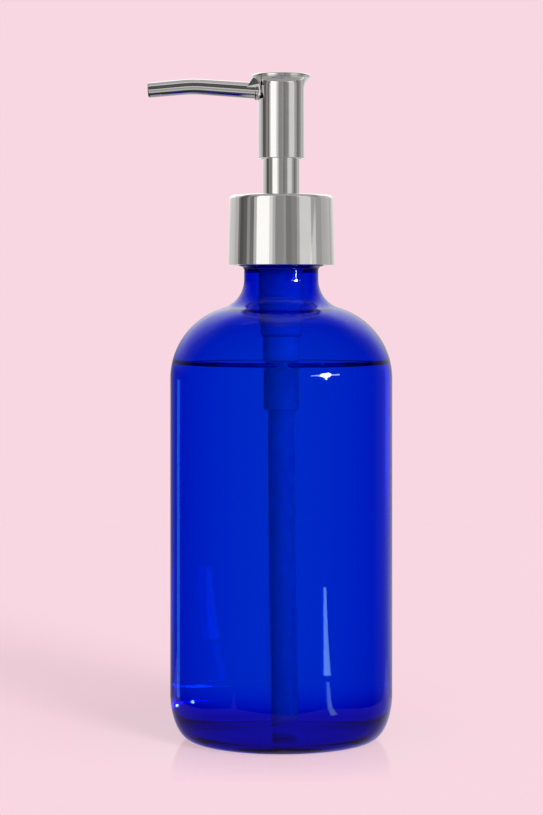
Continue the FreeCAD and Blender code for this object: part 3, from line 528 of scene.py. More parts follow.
def bottle_glass():
    """Glass bottle with its push-up, heel, shoulder, neck, bead, threaded finish and inner wall."""
    inner_fillet = NECK_FILLET + NECK_RADIUS - NECK_BORE_RADIUS
    fillet_height, join_angle = shoulder_join(SIDE_WALL, NECK_BORE_RADIUS, inner_fillet)
    glass = Outline(0.0, PUSH_UP)
    bottle_outside(glass)
    glass.line(MOUTH_BORE_RADIUS + LIP_ROUND, GLASS_HEIGHT)
    glass.arc(MOUTH_BORE_RADIUS + LIP_ROUND, GLASS_HEIGHT - LIP_ROUND, HALF_TURN, LIP_STEPS)
    glass.line(MOUTH_BORE_RADIUS, MOUTH_BORE_START)
    glass.line(NECK_BORE_RADIUS, NECK_BORE_TOP)
    glass.line(NECK_BORE_RADIUS, fillet_height)
    glass.sweep(NECK_BORE_RADIUS + inner_fillet, fillet_height, inner_fillet, HALF_TURN,
                join_angle + HALF_TURN)
    glass.sweep(SHOULDER_CENTRE, SHOULDER_START, SHOULDER_RADIUS - SIDE_WALL, join_angle, 0.0,
                SHOULDER_STEPS)
    glass.line(BODY_RADIUS - SIDE_WALL, HEEL_INSIDE_HEIGHT)
    glass.quarter(FLOOR_INSIDE_RADIUS, FLOOR_INSIDE_EDGE, False, INSIDE_STEPS)
    glass.dome(0.0, FLOOR_INSIDE_CENTRE, INSIDE_STEPS)
    builder = turned_mesh(glass.points, GLASS_SEGMENTS, closed=False, relief=thread_relief)
    return finished("bottle_glass", builder, "bottle_body", ["bottle"])


def liquid():
    """Liquid that fills the bottle to below the neck, its edge raised where it wets the glass."""
    side_radius = BODY_RADIUS - SIDE_WALL + LIQUID_OVERLAP
    wall_radius = side_radius - SHOULDER_CENTRE
    edge_height = LIQUID_LEVEL + MENISCUS_RISE
    edge_radius = SHOULDER_CENTRE + math.sqrt(wall_radius ** 2 - (edge_height - SHOULDER_START) ** 2)
    edge_angle = math.asin((edge_height - SHOULDER_START) / wall_radius)
    body = Outline(0.0, FLOOR_INSIDE_CENTRE - LIQUID_OVERLAP)
    body.dome(FLOOR_INSIDE_RADIUS, FLOOR_INSIDE_EDGE - LIQUID_OVERLAP, INSIDE_STEPS)
    body.quarter(side_radius, HEEL_INSIDE_HEIGHT, True, INSIDE_STEPS)
    body.line(side_radius, SHOULDER_START)
    body.arc(SHOULDER_CENTRE, SHOULDER_START, edge_angle, LIQUID_EDGE_STEPS)
    for step in range(1, MENISCUS_STEPS + 1):
        share = step / MENISCUS_STEPS
        rise = MENISCUS_RISE * (1 - share) ** MENISCUS_CURVE
        body.points.append((edge_radius - share * MENISCUS_WIDTH, LIQUID_LEVEL + rise))
    body.line(LIQUID_PUMP_RADIUS, LIQUID_LEVEL)
    body.line(LIQUID_PUMP_RADIUS, LIQUID_PUMP_LEVEL)
    body.line(0.0, LIQUID_PUMP_LEVEL)
    builder = turned_mesh(body.points, GLASS_SEGMENTS, closed=False)
    return finished("liquid_fill", builder, "bottle_body")


# ------------ polished steel
def collar_shell():
    """Screw collar shell: slightly tapered side, rounded edges and a hole for the stem."""
    outline = rounded_outline([
        (COLLAR_BORE_RADIUS, COLLAR_BOTTOM, FINE),
        (COLLAR_BOTTOM_RADIUS, COLLAR_BOTTOM, EASY),
        (COLLAR_TOP_RADIUS, COLLAR_TOP, COLLAR_TOP_ROUND),
        (COLLAR_HOLE_RADIUS, COLLAR_TOP, SOFT),
        (COLLAR_HOLE_RADIUS, COLLAR_TOP - COLLAR_TOP_PLATE, FINE),
        (COLLAR_BORE_RADIUS, COLLAR_TOP - COLLAR_TOP_PLATE, BROADEST)])
    return turned_steel("collar_steel", outline, "collar", "collar_shell")


def stem_sleeve():
    """Polished sleeve between the collar and the head."""
    outline = rounded_outline([
        (SLEEVE_BORE, SLEEVE_BOTTOM, FINE),
        (SLEEVE_RADIUS, SLEEVE_BOTTOM, EASY),
        (SLEEVE_RADIUS, SLEEVE_TOP, FINE),
        (SLEEVE_BORE, SLEEVE_TOP, FINE)])
    return turned_steel("sleeve_steel", outline, "plunger", "stem_sleeve")


def head_shell():
    """Polished head tube with a rounded lower edge, flared like a trumpet at the top."""
    outward = FLARE_RADIUS - HEAD_RADIUS
    upward = FLARE_TOP - FLARE_START
    flare_size = (outward ** 2 + upward ** 2) / (2 * outward)
    flare_turn = 2 * math.atan2(outward, upward)
    outline = Outline(HEAD_BORE, HEAD_BOTTOM)
    outline.line(HEAD_RADIUS - HEAD_EDGE_ROUND, HEAD_BOTTOM)
    outline.arc(HEAD_RADIUS - HEAD_EDGE_ROUND, HEAD_BOTTOM + HEAD_EDGE_ROUND, 0.0, LIP_STEPS)
    outline.line(HEAD_RADIUS, FLARE_START)
    outline.sweep(HEAD_RADIUS + flare_size, FLARE_START, flare_size, HALF_TURN, HALF_TURN - flare_turn)
    outline.line(HEAD_BORE, FLARE_TOP)
    outline.line(HEAD_BORE, HEAD_BOTTOM)
    outline.points.pop()
    return turned_steel("head_steel", outline, "plunger", "head_shell")


def head_cap():
    """Round button on top of the head, its rim rounded over."""
    outline = Outline(0.0, FLARE_TOP - CAP_SPIGOT_DEPTH)
    outline.line(CAP_SPIGOT_RADIUS, FLARE_TOP - CAP_SPIGOT_DEPTH)
    outline.line(CAP_SPIGOT_RADIUS, FLARE_TOP)
    outline.line(CAP_RADIUS - CAP_EDGE_ROUND, FLARE_TOP)
    outline.arc(CAP_RADIUS - CAP_EDGE_ROUND, FLARE_TOP + CAP_EDGE_ROUND, 0.0, EDGE_STEPS)
    outline.line(CAP_RADIUS, CAP_TOP - CAP_EDGE_ROUND)
    outline.arc(CAP_RADIUS - CAP_EDGE_ROUND, CAP_TOP - CAP_EDGE_ROUND, QUARTER_TURN, EDGE_STEPS)
    outline.line(0.0, CAP_TOP)
    return turned_steel("cap_steel", outline, "plunger", "head_cap", closed=False)


def rise_height(x):
    """Height of the spout's straight inner run at a given x."""
    return SPOUT_REFERENCE_HEIGHT + (SPOUT_REFERENCE_X - x) * math.tan(SPOUT_RISE)


def spout_stations():
    """Points and directions along the spout's centre line, from inside the head to the mouth."""
    drop_direction = Vector((-math.cos(SPOUT_DROP), 0, -math.sin(SPOUT_DROP)))
    apex = Vector((SPOUT_APEX_X, 0, rise_height(SPOUT_APEX_X)))
    start = Vector((SPOUT_INNER_X, 0, rise_height(SPOUT_INNER_X)))
    turn = SPOUT_RISE + SPOUT_DROP
    bend_start = apex - RISE_DIRECTION * SPOUT_BEND_RADIUS * math.tan(turn / 2)
    upward = Vector((math.sin(SPOUT_RISE), 0, math.cos(SPOUT_RISE)))
    centre = bend_start - upward * SPOUT_BEND_RADIUS
    stations = [(start.lerp(bend_start, step / SPOUT_STRAIGHT_STEPS), RISE_DIRECTION)
                for step in range(SPOUT_STRAIGHT_STEPS)]
    for step in range(SPOUT_BEND_STEPS + 1):
        turning = Matrix.Rotation(-turn * step / SPOUT_BEND_STEPS, 3, "Y")
        stations.append((centre + turning @ upward * SPOUT_BEND_RADIUS, turning @ RISE_DIRECTION))
    mouth = apex + drop_direction * ((SPOUT_APEX_X - SPOUT_MOUTH_X) / math.cos(SPOUT_DROP))
    bend_end = stations[-1][0]
    for step in range(1, SPOUT_STRAIGHT_STEPS + 1):
        stations.append((bend_end.lerp(mouth, step / SPOUT_STRAIGHT_STEPS), drop_direction))
    return stations


def rounded_end(place, along, radius, rounding, turn, steps):
    """Stations and radii of a rounded edge whose far side is at a place."""
    stations = []
    radii = []
    for step in range(steps + 1):
        angle = turn * step / steps
        stations.append((place - along * rounding * (1 - math.sin(angle)), along))
        radii.append(radius - rounding * (1 - math.cos(angle)))
    return stations, radii


def spout_tube():
    """Tapering spout with a rounded lip at its mouth, hollow all the way."""
    outer = spout_stations()
    start_x = outer[0][0].x
    mouth, mouth_direction = outer.pop()
    taper = (SPOUT_ROOT_RADIUS - SPOUT_MOUTH_RADIUS) / (start_x - mouth.x)
    outside = [SPOUT_ROOT_RADIUS - taper * (start_x - point.x) for point, _ in outer]
    lip, lip_radii = rounded_end(mouth, mouth_direction, SPOUT_MOUTH_RADIUS, SPOUT_WALL / 2, HALF_TURN,
                                 SPOUT_LIP_STEPS)
    inside = [radius - SPOUT_WALL for radius in reversed(outside)]
    builder = swept_mesh(outer + lip + outer[::-1], outside + lip_radii + inside)
    return finished("spout_steel", builder, "plunger", ["spout_tube"])


def spout_ring():
    """Small raised ring where the spout enters the head."""
    inner_x = -HEAD_BORE - RING_ROOT
    root = Vector((inner_x, 0, rise_height(inner_x)))
    face = Vector((JOINT_RING_FACE_X, 0, rise_height(JOINT_RING_FACE_X)))
    hole_radius = SPOUT_ROOT_RADIUS - RING_OVERLAP
    edge, edge_radii = rounded_end(face, RISE_DIRECTION, JOINT_RING_RADIUS, JOINT_RING_ROUND,
                                   QUARTER_TURN, EDGE_STEPS)
    builder = swept_mesh([(root, RISE_DIRECTION)] * 2 + edge + [(face, RISE_DIRECTION)],
                         [hole_radius, JOINT_RING_RADIUS] + edge_radii + [hole_radius])
    return finished("ring_steel", builder, "plunger", ["spout_ring"])


def spout_gusset():
    """Wedge between the top of the spout's root and the rim of the head, with eased edges."""
    inner_x = -HEAD_BORE - GUSSET_ROOT
    profile = [GUSSET_TIP, GUSSET_PEAK, (inner_x, GUSSET_PEAK[1]), (inner_x, GUSSET_TIP[1])]
    builder = bmesh.new()
    near, far = [[builder.verts.new((x * MM, y * MM, z * MM)) for x, z in profile]
                 for y in (-GUSSET_HALF_WIDTH, GUSSET_HALF_WIDTH)]
    builder.faces.new(near)
    builder.faces.new(reversed(far))
    for index in range(len(profile)):
        following = (index + 1) % len(profile)
        builder.faces.new((near[index], far[index], far[following], near[following]))
    bmesh.ops.recalc_face_normals(builder, faces=builder.faces)
    bmesh.ops.bevel(builder, geom=builder.edges[:], offset=GUSSET_EDGE_ROUND * MM,
                    segments=GUSSET_EDGE_STEPS, profile=ROUND_BEVEL, affect="EDGES", clamp_overlap=True)
    return finished("gusset_steel", builder, "plunger", ["spout_gusset"])


# ------------ plastic pieces seen through the glass
def pump_housing():
    """Stepped pump cylinder with its flange, rib, ball seat and spigot for the dip tube."""
    seat_cone_top = SEAT_CONE_BOTTOM + BALL_CHAMBER_RADIUS - SEAT_HOLE_RADIUS
    cylinders = [
        (GUIDE_SOCKET_RADIUS, (HOUSING_RIM_TOP, SLIGHT)),
        (HOUSING_RIM_RADIUS, (HOUSING_RIM_TOP, EASY), (FLANGE_TOP, FINE)),
        (FLANGE_RADIUS, (FLANGE_TOP, SOFT), (FLANGE_BOTTOM, SOFT)),
        (HOUSING_PLUG_RADIUS, (FLANGE_BOTTOM, FINE), (HOUSING_PLUG_END, EASY)),
        (HOUSING_BARREL_RADIUS, (HOUSING_BARREL_START, EASY), (HOUSING_RIB_HEIGHT + HOUSING_RIB_HALF, FINE)),
        (HOUSING_RIB_RADIUS, (HOUSING_RIB_HEIGHT, EASY)),
        (HOUSING_BARREL_RADIUS, (HOUSING_RIB_HEIGHT - HOUSING_RIB_HALF, FINE), (HOUSING_STEP_HEIGHT, SOFT)),
        (HOUSING_STEP_RADIUS, (HOUSING_STEP_HEIGHT - HOUSING_STEP_DROP, EASY), (HOUSING_LOWER_TOP, SOFT)),
        (HOUSING_LOWER_RADIUS, (HOUSING_LOWER_TOP - HOUSING_STEP_DROP, EASY), (HOUSING_CONE_TOP, BROAD)),
        (SPIGOT_RADIUS, (SPIGOT_TOP, BROAD), (SPIGOT_BOTTOM, SOFT)),
        (DIP_TUBE_RADIUS, (SPIGOT_BOTTOM, SLIGHT), (DIP_SOCKET_TOP, FINE)),
        (SEAT_HOLE_RADIUS, (DIP_SOCKET_TOP, FINE), (SEAT_CONE_BOTTOM, FINE)),
        (BALL_CHAMBER_RADIUS, (seat_cone_top, FINE), (BALL_CHAMBER_TOP, FINE)),
        (SPRING_BORE_RADIUS, (BALL_CHAMBER_TOP, FINE), (SPRING_BORE_TOP, FINE)),
        (PISTON_BORE_RADIUS, (PISTON_BORE_FLOOR, FINE), (GUIDE_FLOOR_BOTTOM, HAIR)),
        (GUIDE_SOCKET_RADIUS, (GUIDE_FLOOR_BOTTOM, HAIR))]
    corners = [(radius, *end) for radius, *ends in cylinders for end in ends]
    outline = rounded_outline(corners, HOUSING_EDGE_STEPS)
    builder = turned_mesh(outline.points, PLASTIC_SEGMENTS)
    return finished("housing_plastic", builder, "pump_body", ["pump_housing"])


def dip_tube():
    """Suction tube: straight in its spigot, then drifting slightly, with a slanted lower end."""
    bend_radius = (SPIGOT_BOTTOM ** 2 + DIP_TUBE_DRIFT ** 2) / (2 * DIP_TUBE_DRIFT)
    centre = Vector((bend_radius, 0, SPIGOT_BOTTOM))
    slope = DIP_TUBE_CUT_RISE / (2 * DIP_TUBE_RADIUS)
    cut_height = DIP_TUBE_TIP + DIP_TUBE_CUT_RISE / 2
    last_angle = math.asin((SPIGOT_BOTTOM - cut_height) / bend_radius)
    stations = [(Vector((0, 0, DIP_TUBE_TOP)), Vector((0, 0, -1)))]
    for step in range(TUBE_STEPS + 1):
        angle = last_angle * step / TUBE_STEPS
        offset = Vector((-math.cos(angle), 0, -math.sin(angle))) * bend_radius
        stations.append((centre + offset, Vector((math.sin(angle), 0, -math.cos(angle)))))
    radii = [DIP_TUBE_RADIUS] * len(stations) + [DIP_TUBE_BORE] * len(stations)
    builder = swept_mesh(stations + stations[::-1], radii)
    end_centre = stations[-1][0] * MM
    for vert in builder.verts:
        if vert.co.z < end_centre.z + DIP_TUBE_CUT_RISE / 2 * MM:
            vert.co.z += (vert.co.x - end_centre.x) * slope
    return finished("tube_plastic", builder, "pump_body", ["dip_tube"])


def coil_height(turn, total_turns, low, high):
    """Height of the wire's centre line after so many turns: closed, then open, then closed."""
    wire = 2 * SPRING_WIRE_RADIUS + SPRING_COIL_GAP
    closed = SPRING_CLOSED_TURNS
    if turn <= closed:
        return low + wire * turn
    if turn >= total_turns - closed:
        return high - wire * (total_turns - turn)
    share = (turn - closed) / SPRING_ACTIVE_TURNS
    return low + wire * closed + (high - low - 2 * wire * closed) * share


def return_spring():
    """Round-wire compression spring with closed turns at both ends."""
    low = SPRING_BOTTOM + SPRING_WIRE_RADIUS
    high = SPRING_TOP - SPRING_WIRE_RADIUS
    total_turns = SPRING_ACTIVE_TURNS + 2 * SPRING_CLOSED_TURNS
    steps = int(total_turns * SPRING_STEPS_PER_TURN)
    points = []
    for step in range(steps + 1):
        turn = step / SPRING_STEPS_PER_TURN
        place = Vector((math.cos(turn * FULL_TURN), math.sin(turn * FULL_TURN), 0)) * SPRING_COIL_RADIUS
        place.z = coil_height(turn, total_turns, low, high)
        points.append(place)
    builder = bmesh.new()
    rings = []
    for index, point in enumerate(points):
        along = points[min(index + 1, steps)] - points[max(index - 1, 0)]
        outward = Vector((point.x, point.y, 0)).normalized()
        upward = along.cross(outward).normalized()
        rings.append(ring_of(builder, point, outward, upward, SPRING_WIRE_RADIUS, SPRING_SIDES))
    skin(builder, rings)
    builder.faces.new(rings[0])
    builder.faces.new(rings[-1])
    spring = finished("spring_wire", builder, "spring", ["return_spring"])
    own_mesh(spring)
    return spring


# ------------ materials
class Graph:
    """Node tree of a material or of the world, with short ways to add nodes to it."""

    def __init__(self, tree):
        self.tree = tree

    def set(self, node, inputs):
        """Give a node's inputs plain values or links."""
        for socket, value in inputs.items():
            if isinstance(value, bpy.types.NodeSocket):
                self.tree.links.new(value, node.inputs[socket])
            else:
                node.inputs[socket].default_value = value

    def add(self, kind, inputs=None, output=0, **settings):
        """New node with its settings and inputs; returns one of its outputs."""
        node = self.tree.nodes.new("ShaderNode" + kind)
        for name, value in settings.items():
            setattr(node, name, value)
        self.set(node, inputs or {})
        return node.outputs[output]

    def shade(self, **inputs):
        """Set inputs of the Principled shader, with underscores for the spaces in their names."""
        named = {name.replace("_", " "): value for name, value in inputs.items()}
        self.set(self.tree.nodes["Principled BSDF"], named)

    def finish(self, socket, value):
        """Link one input of the material's output."""
        self.set(self.tree.nodes["Material Output"], {socket: value})

    def coordinates(self, scale=(1.0, 1.0, 1.0)):
        """Object coordinates stretched along the axes."""
        return self.add("Mapping", {"Vector": self.add("TexCoord", output="Object"), "Scale": scale})

    def noise(self, vector, scale, detail, roughness=0.5):
        """Noise texture with a given scale per metre."""
        return self.add("TexNoise", {"Vector": vector, "Scale": scale, "Detail": detail,
                                     "Roughness": roughness})

    def spread(self, value, low, high):
        """Value from 0..1 spread over low..high."""
        return self.add("MapRange", {"Value": value, "To Min": low, "To Max": high})

    def bump(self, height, strength, depth):
        """Bump of a given depth in metres."""
        return self.add("Bump", {"Height": height, "Strength": strength, "Distance": depth})

    def ramp(self, value, stops):
        """Ramp through (position, colour) stops, where a single number is a grey."""
        colours = self.add("ValToRGB", {"Fac": value})
        elements = colours.node.color_ramp.elements
        while len(elements) > 1:
            elements.remove(elements[-1])
        for index, (position, colour) in enumerate(stops):
            element = elements[0] if index == 0 else elements.new(position)
            element.position = position
            element.color = (*(colour if isinstance(colour, tuple) else [colour] * 3), 1.0)
        return colours

    def math(self, operation, *numbers):
        """Arithmetic on numbers."""
        return self.add("Math", dict(enumerate(numbers)), operation=operation)

    def vectors(self, operation, *inputs, output=0):
        """Arithmetic on vectors."""
        return self.add("VectorMath", dict(enumerate(inputs)), output, operation=operation)

    def mix(self, share, first, second):
        """One shader where the share is 0, the other where it is 1."""
        return self.add("MixShader", {"Fac": share, 1: first, 2: second})


def new_material(name):
    """Material with a Principled shader, and its graph."""
    material = bpy.data.materials.new(name)
    material.use_nodes = True
    return material, Graph(material.node_tree)


def clear_material(name, ior, colour, density):
    """Material that is clear at its surface and absorbs light inside."""
    material, graph = new_material(name)
    graph.shade(Base_Color=(1.0, 1.0, 1.0, 1.0), Transmission_Weight=1.0, Roughness=0.0, IOR=ior)
    graph.finish("Volume", graph.add("VolumeAbsorption", {"Color": (*colour, 1.0), "Density": density}))
    return material, graph


def blue_glass():
    """Cobalt glass: clear at the surface and strongly absorbing inside, with faint moulding waves."""
    material, graph = clear_material("blue_glass", ior=1.52, colour=(0.0, 0.686, 0.976), density=2200.0)
    waves = graph.noise(graph.coordinates((1.0, 1.0, 0.45)), scale=34.0, detail=1.0)
    graph.shade(Normal=graph.bump(waves, strength=0.35, depth=0.0006))
    return material


def clear_liquid():
    """Thin clear liquid, very slightly absorbing."""
    return clear_material("clear_liquid", ior=1.345, colour=(0.8, 0.92, 0.97), density=4.0)[0]


def polished_steel():
    """Polished steel: nearly a mirror, with faint drawing lines and soft handling marks."""
    material, graph = new_material("polished_steel")
    lines = graph.noise(graph.coordinates((1.0, 1.0, 0.02)), scale=2600.0, detail=4.0, roughness=0.6)
    marks = graph.noise(graph.coordinates(), scale=160.0, detail=4.0, roughness=0.55)
    graph.shade(Metallic=1.0,
                Base_Color=graph.ramp(marks, [(0.0, (0.84, 0.825, 0.805)), (1.0, (0.90, 0.89, 0.875))]),
                Roughness=graph.spread(marks, low=0.03, high=0.08),
                Normal=graph.bump(lines, strength=0.06, depth=0.00002))
    return material


def valve_steel():
    """Drawn stainless wire and ball."""
    material, graph = new_material("valve_steel")
    marks = graph.noise(graph.coordinates(), scale=700.0, detail=3.0)
    graph.shade(Metallic=1.0,
                Base_Color=graph.ramp(marks, [(0.0, (0.55, 0.54, 0.52)), (1.0, (0.72, 0.71, 0.69))]),
                Roughness=graph.spread(marks, low=0.18, high=0.34),
                Normal=graph.bump(marks, strength=0.1, depth=0.00002))
    return material


def plastic(name, low, high, roughness, subsurface, grain):
    """Moulded plastic with a slight colour drift and a fine skin."""
    material, graph = new_material(name)
    vector = graph.coordinates()
    drift = graph.noise(vector, scale=60.0, detail=3.0)
    skin = graph.noise(vector, scale=grain, detail=2.0)
    graph.shade(Base_Color=graph.ramp(drift, [(0.0, low), (1.0, high)]),
                Roughness=graph.spread(skin, low=roughness * 0.8, high=roughness * 1.2),
                Normal=graph.bump(skin, strength=0.15, depth=0.00003),
                Subsurface_Weight=subsurface,
                Subsurface_Scale=0.001)
    return material


# ------------ lights
def direction(azimuth, elevation):
    """Unit vector from the studio's centre; azimuth 0 is the camera's side, positive to the right."""
    turn, rise = math.radians(azimuth), math.radians(elevation)
    return Vector((math.sin(turn) * math.cos(rise), -math.cos(turn) * math.cos(rise), math.sin(rise)))


def aimed(towards):
    """Quaternion that points a light along a vector."""
    return towards.to_track_quat("-Z", "Y")


def added(name, data):
    """Object in the scene for a light, a camera or a mesh."""
    item = bpy.data.objects.new(name, data)
    bpy.context.scene.collection.objects.link(item)
    return item


def panel(name, place, width, height, radiance, colour, receivers):
    """Rectangular light of a given radiance, facing the studio's centre, lighting only its receivers."""
    data = bpy.data.lights.new(name, "AREA")
    data.shape = "RECTANGLE"
    data.size = width
    data.size_y = height
    data.color = colour
    data.energy = radiance * math.pi * width * height
    light = added(name, data)
    light.location = place
    light.rotation_euler = aimed(STUDIO_CENTRE - place).to_euler()
    light.visible_camera = False
    light.light_linking.receiver_collection = receivers
    return light


def lamp(name, receivers):
    """One of the lights that stand by themselves."""
    azimuth, distance, height, width, tallness, radiance, colour = LAMPS[name]
    place = direction(azimuth, 0.0) * distance
    place.z = height
    return panel(name, place, width, tallness, radiance, colour, receivers)


def floor_light(name, place, turn, width, length, radiance, colour, receivers):
    """Light lying flat and facing up, its length along an azimuth in degrees."""
    light = panel(name, Vector(place), width, length, radiance, colour, receivers)
    light.rotation_euler = (HALF_TURN, 0.0, math.radians(turn))


def span(degrees):
    """Width of a panel that covers an angle as seen from the studio's centre."""
    return 2 * STUDIO_RADIUS * math.tan(math.radians(degrees / 2))


def steel_studio(receivers):
    """Ring of tall panels round the steel, one overhead and one below."""
    low = STUDIO_RADIUS * math.tan(math.radians(PANEL_LOW))
    high = STUDIO_RADIUS * math.tan(math.radians(PANEL_HIGH))
    for index, (start, end, radiance) in enumerate(STEEL_SURROUNDINGS):
        parts = max(1, math.ceil((end - start) / WIDEST_PANEL))
        step = (end - start) / parts
        for part in range(parts):
            place = STUDIO_CENTRE + direction(start + step * (part + 0.5), 0.0) * STUDIO_RADIUS
            light = panel(f"steel_panel_{index}_{part}", place, span(step), high - low,
                          radiance * STEEL_GAIN, STEEL_WHITE, receivers)
            light.location.z += (high + low) / 2
    for name, height, colour in (("overhead", high, STEEL_WHITE), ("floor", low, STEEL_FLOOR_TINT)):
        panel(f"steel_{name}", STUDIO_CENTRE + Vector((0, 0, height)), 2 * STUDIO_RADIUS,
              2 * STUDIO_RADIUS, STEEL_ROOM, colour, receivers)


def collar_studio(receivers):
    """Extra light on the collar's right: a patch with a slanting edge, and a dim wall beyond it."""
    patch = lamp("collar_patch", receivers)
    level = aimed(Vector((-patch.location.x, -patch.location.y, 0.0)))
    patch.rotation_euler = (level @ Quaternion((0, 0, 1), COLLAR_PATCH_TILT)).to_euler()
    lamp("collar_wall", receivers)


def spout_studio(receivers):
    """Long level panels in a circle over the camera, for the spout and the pieces at its root."""
    for index, (start, end, radiance) in enumerate(SPOUT_SURROUNDINGS):
        place = STUDIO_CENTRE + direction(0.0, (start + end) / 2) * STUDIO_RADIUS
        panel(f"spout_panel_{index}", place, SPOUT_PANEL_LENGTH, span(end - start),
              radiance * STEEL_GAIN, STEEL_WHITE, receivers)
    lamp("spout_side", receivers)


def glass_highlights(receivers):
    """Star on the shoulder, lights on the neck and left edge, streak and glints near the base."""
    lamp("glass_star", receivers).data.shape = "ELLIPSE"
    for name in ("glass_star_bar", "glass_neck_bar", "glass_edge"):
        lamp(name, receivers)
    for index, (near, far, radiance) in enumerate(STREAK_STRIPS):
        middle = (near + far) / 2
        floor_light(f"glass_streak_{index}", direction(STREAK_AZIMUTH, 0.0) * middle, STREAK_AZIMUTH,
                    STREAK_WEDGE * middle, far - near, radiance, STREAK_COLOUR, receivers)
    for index, (x, y, size) in enumerate(GLINTS):
        floor_light(f"glass_glint_{index}", (x, y, 0.0), STREAK_AZIMUTH, size, size, GLINT_RADIANCE,
                    STREAK_COLOUR, receivers)
    floor_light("glass_low", LOW_PLACE, 0.0, LOW_SIZE, LOW_SIZE, LOW_RADIANCE, LOW_TINT, receivers)


def key_light():
    """Soft main light from the right and in front; it gives the soft shadow."""
    data = bpy.data.lights.new("key", "SUN")
    data.energy = KEY_STRENGTH
    data.angle = math.radians(KEY_WIDTH)
    light = added("key", data)
    light.rotation_euler = aimed(-direction(KEY_AZIMUTH, KEY_ELEVATION)).to_euler()
    light.visible_glossy = False
    light.visible_transmission = False


# ------------ surroundings, floor and camera
def room_brightness(graph):
    """Light of the room by direction: dark in front, lighter behind the object and high on its left."""
    towards = graph.add("SeparateXYZ", {0: graph.add("TexCoord", output="Generated")}).node.outputs
    azimuth = graph.math("ARCTAN2", towards["X"], graph.math("MULTIPLY", towards["Y"], -1.0))
    around = graph.math("ADD", graph.math("DIVIDE", azimuth, FULL_TURN), 0.5)
    height = graph.math("ADD", graph.math("MULTIPLY", towards["Z"], 0.5), 0.5)
    room = graph.vectors("MULTIPLY", graph.ramp(around, ROOM_AROUND), graph.ramp(height, ROOM_HEIGHT))
    return graph.vectors("MULTIPLY_ADD", graph.ramp(around, SIDE_AROUND), graph.ramp(height, SIDE_HEIGHT),
                         room)


def lighting_colour(graph):
    """Light that falls on matt surfaces: a dim even part and a broad glow round the main light."""
    along = graph.vectors("DOT_PRODUCT", graph.add("TexCoord", output="Generated"),
                          direction(KEY_AZIMUTH, KEY_ELEVATION), output="Value")
    facing = graph.math("MAXIMUM", along, 0.0)
    glow = graph.math("MULTIPLY", graph.math("MULTIPLY", facing, facing), KEY_SPREAD)
    return graph.vectors("ADD", AMBIENT, glow)


def studio_world():
    """Surroundings: pale pink to look at, a dim room in reflections, a soft glow for lighting."""
    world = bpy.data.worlds.new("studio")
    bpy.context.scene.world = world
    world.use_nodes = True
    world.node_tree.nodes.clear()
    graph = Graph(world.node_tree)
    path = graph.add("LightPath").node.outputs
    seen, lighting, reflected = [graph.add("Background", {"Color": colour}) for colour in (
        (*BACKGROUND, 1.0), lighting_colour(graph), room_brightness(graph))]
    not_scattered = graph.math("LESS_THAN", path["Diffuse Depth"], 0.5)
    through = graph.math("MULTIPLY", path["Is Transmission Ray"], not_scattered)
    looked_at = graph.math("MAXIMUM", path["Is Camera Ray"], through)
    not_through = graph.math("SUBTRACT", 1.0, path["Is Transmission Ray"])
    mirrored = graph.math("MULTIPLY", path["Is Glossy Ray"], not_through)
    everything = graph.mix(mirrored, graph.mix(looked_at, lighting, seen), reflected)
    graph.set(world.node_tree.nodes.new("ShaderNodeOutputWorld"), {"Surface": everything})


def by_distance(graph, near_far, near_value, far_value):
    """Value that eases from one to another with the distance from the object's axis."""
    length = graph.vectors("LENGTH", graph.add("TexCoord", output="Object"), output="Value")
    return graph.add("MapRange", {"Value": length, "From Min": near_far[0], "From Max": near_far[1],
                                  "To Min": near_value, "To Max": far_value},
                     interpolation_type="SMOOTHSTEP")


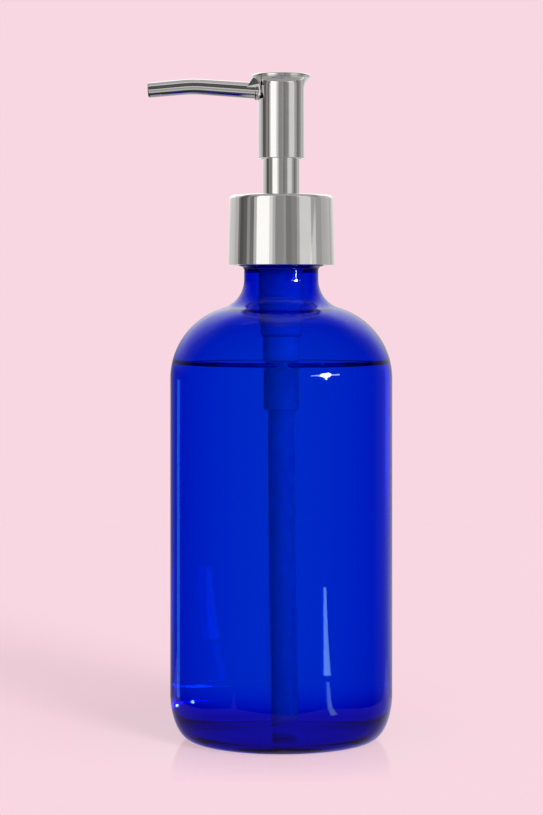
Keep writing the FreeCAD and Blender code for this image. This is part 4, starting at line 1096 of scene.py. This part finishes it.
def studio_floor():
    """Plain pale floor with a slight shine by the object, fading into the surroundings."""
    builder = bmesh.new()
    bmesh.ops.create_circle(builder, cap_ends=True, segments=FLOOR_SIDES, radius=FLOOR_RADIUS)
    mesh = bpy.data.meshes.new("studio_floor")
    builder.to_mesh(mesh)
    builder.free()
    floor = added("studio_floor", mesh)
    floor.location.z = -FLOOR_GAP
    floor.visible_glossy = False
    material, graph = new_material("floor_paper")
    graph.tree.nodes.remove(graph.tree.nodes["Principled BSDF"])
    glow = graph.add("Emission", {"Color": (*BACKGROUND, 1.0), "Strength": FLOOR_GLOW})
    paper = graph.add("BsdfDiffuse", {"Color": (*FLOOR_PAPER, 1.0)})
    gloss = graph.add("BsdfGlossy", {"Roughness": FLOOR_ROUGHNESS})
    shiny = graph.mix(by_distance(graph, SHINE_FADE, FLOOR_SHINE, 0.0),
                      graph.add("AddShader", {0: glow, 1: paper}), gloss)
    faded = graph.mix(by_distance(graph, FLOOR_FADE, 0.0, 1.0), shiny, graph.add("BsdfTransparent"))
    graph.finish("Surface", faded)
    mesh.materials.append(material)


def studio_camera():
    """Level camera in front of the bottle, shifted down rather than tilted."""
    data = bpy.data.cameras.new("camera")
    data.lens = CAMERA_LENS
    data.sensor_width = CAMERA_SENSOR
    data.shift_y = CAMERA_SHIFT
    data.clip_start = CAMERA_NEAR
    camera = added("camera", data)
    camera.location = CAMERA_PLACE
    camera.rotation_euler = (QUARTER_TURN, 0.0, 0.0)
    bpy.context.scene.camera = camera


# ------------ assembly
def paint(pieces, material):
    """Give pieces one material."""
    for piece in pieces:
        piece.data.materials.clear()
        piece.data.materials.append(material)


def paint_node(name, material):
    """Give a CAD node's slots a better material."""
    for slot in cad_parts[name].material_slots:
        slot.material = material


def collection_of(name, objects):
    """Collection for light linking."""
    group = bpy.data.collections.new(name)
    for item in objects:
        group.objects.link(item)
    return group


def main():
    """Build the pieces, paint them and set up the studio."""
    glass = bottle_glass()
    fill = liquid()
    steel_pieces = [collar_shell(), stem_sleeve(), head_shell(), head_cap()]
    spout_pieces = [spout_tube(), spout_ring(), spout_gusset()]
    housing = pump_housing()
    tube = dip_tube()
    spring = return_spring()

    materials = {name: plastic(name, *values) for name, values in PLASTICS.items()}
    materials["valve_steel"] = valve_steel()
    paint([glass], blue_glass())
    paint([fill], clear_liquid())
    paint(steel_pieces + spout_pieces, polished_steel())
    paint([housing], materials["natural_plastic"])
    paint([tube], materials["tube_plastic"])
    paint([spring], materials["valve_steel"])
    for material, nodes in HIDDEN_NODES.items():
        for node in nodes:
            paint_node(node, materials[material])

    studio_world()
    studio_floor()
    key_light()
    steel_studio(collection_of("lit_steel", steel_pieces))
    collar_studio(collection_of("lit_collar", steel_pieces[:1]))
    spout_studio(collection_of("lit_spout", spout_pieces))
    glass_highlights(collection_of("lit_glass", [glass]))
    studio_camera()
    bpy.context.scene.view_settings.view_transform = "Standard"


main()
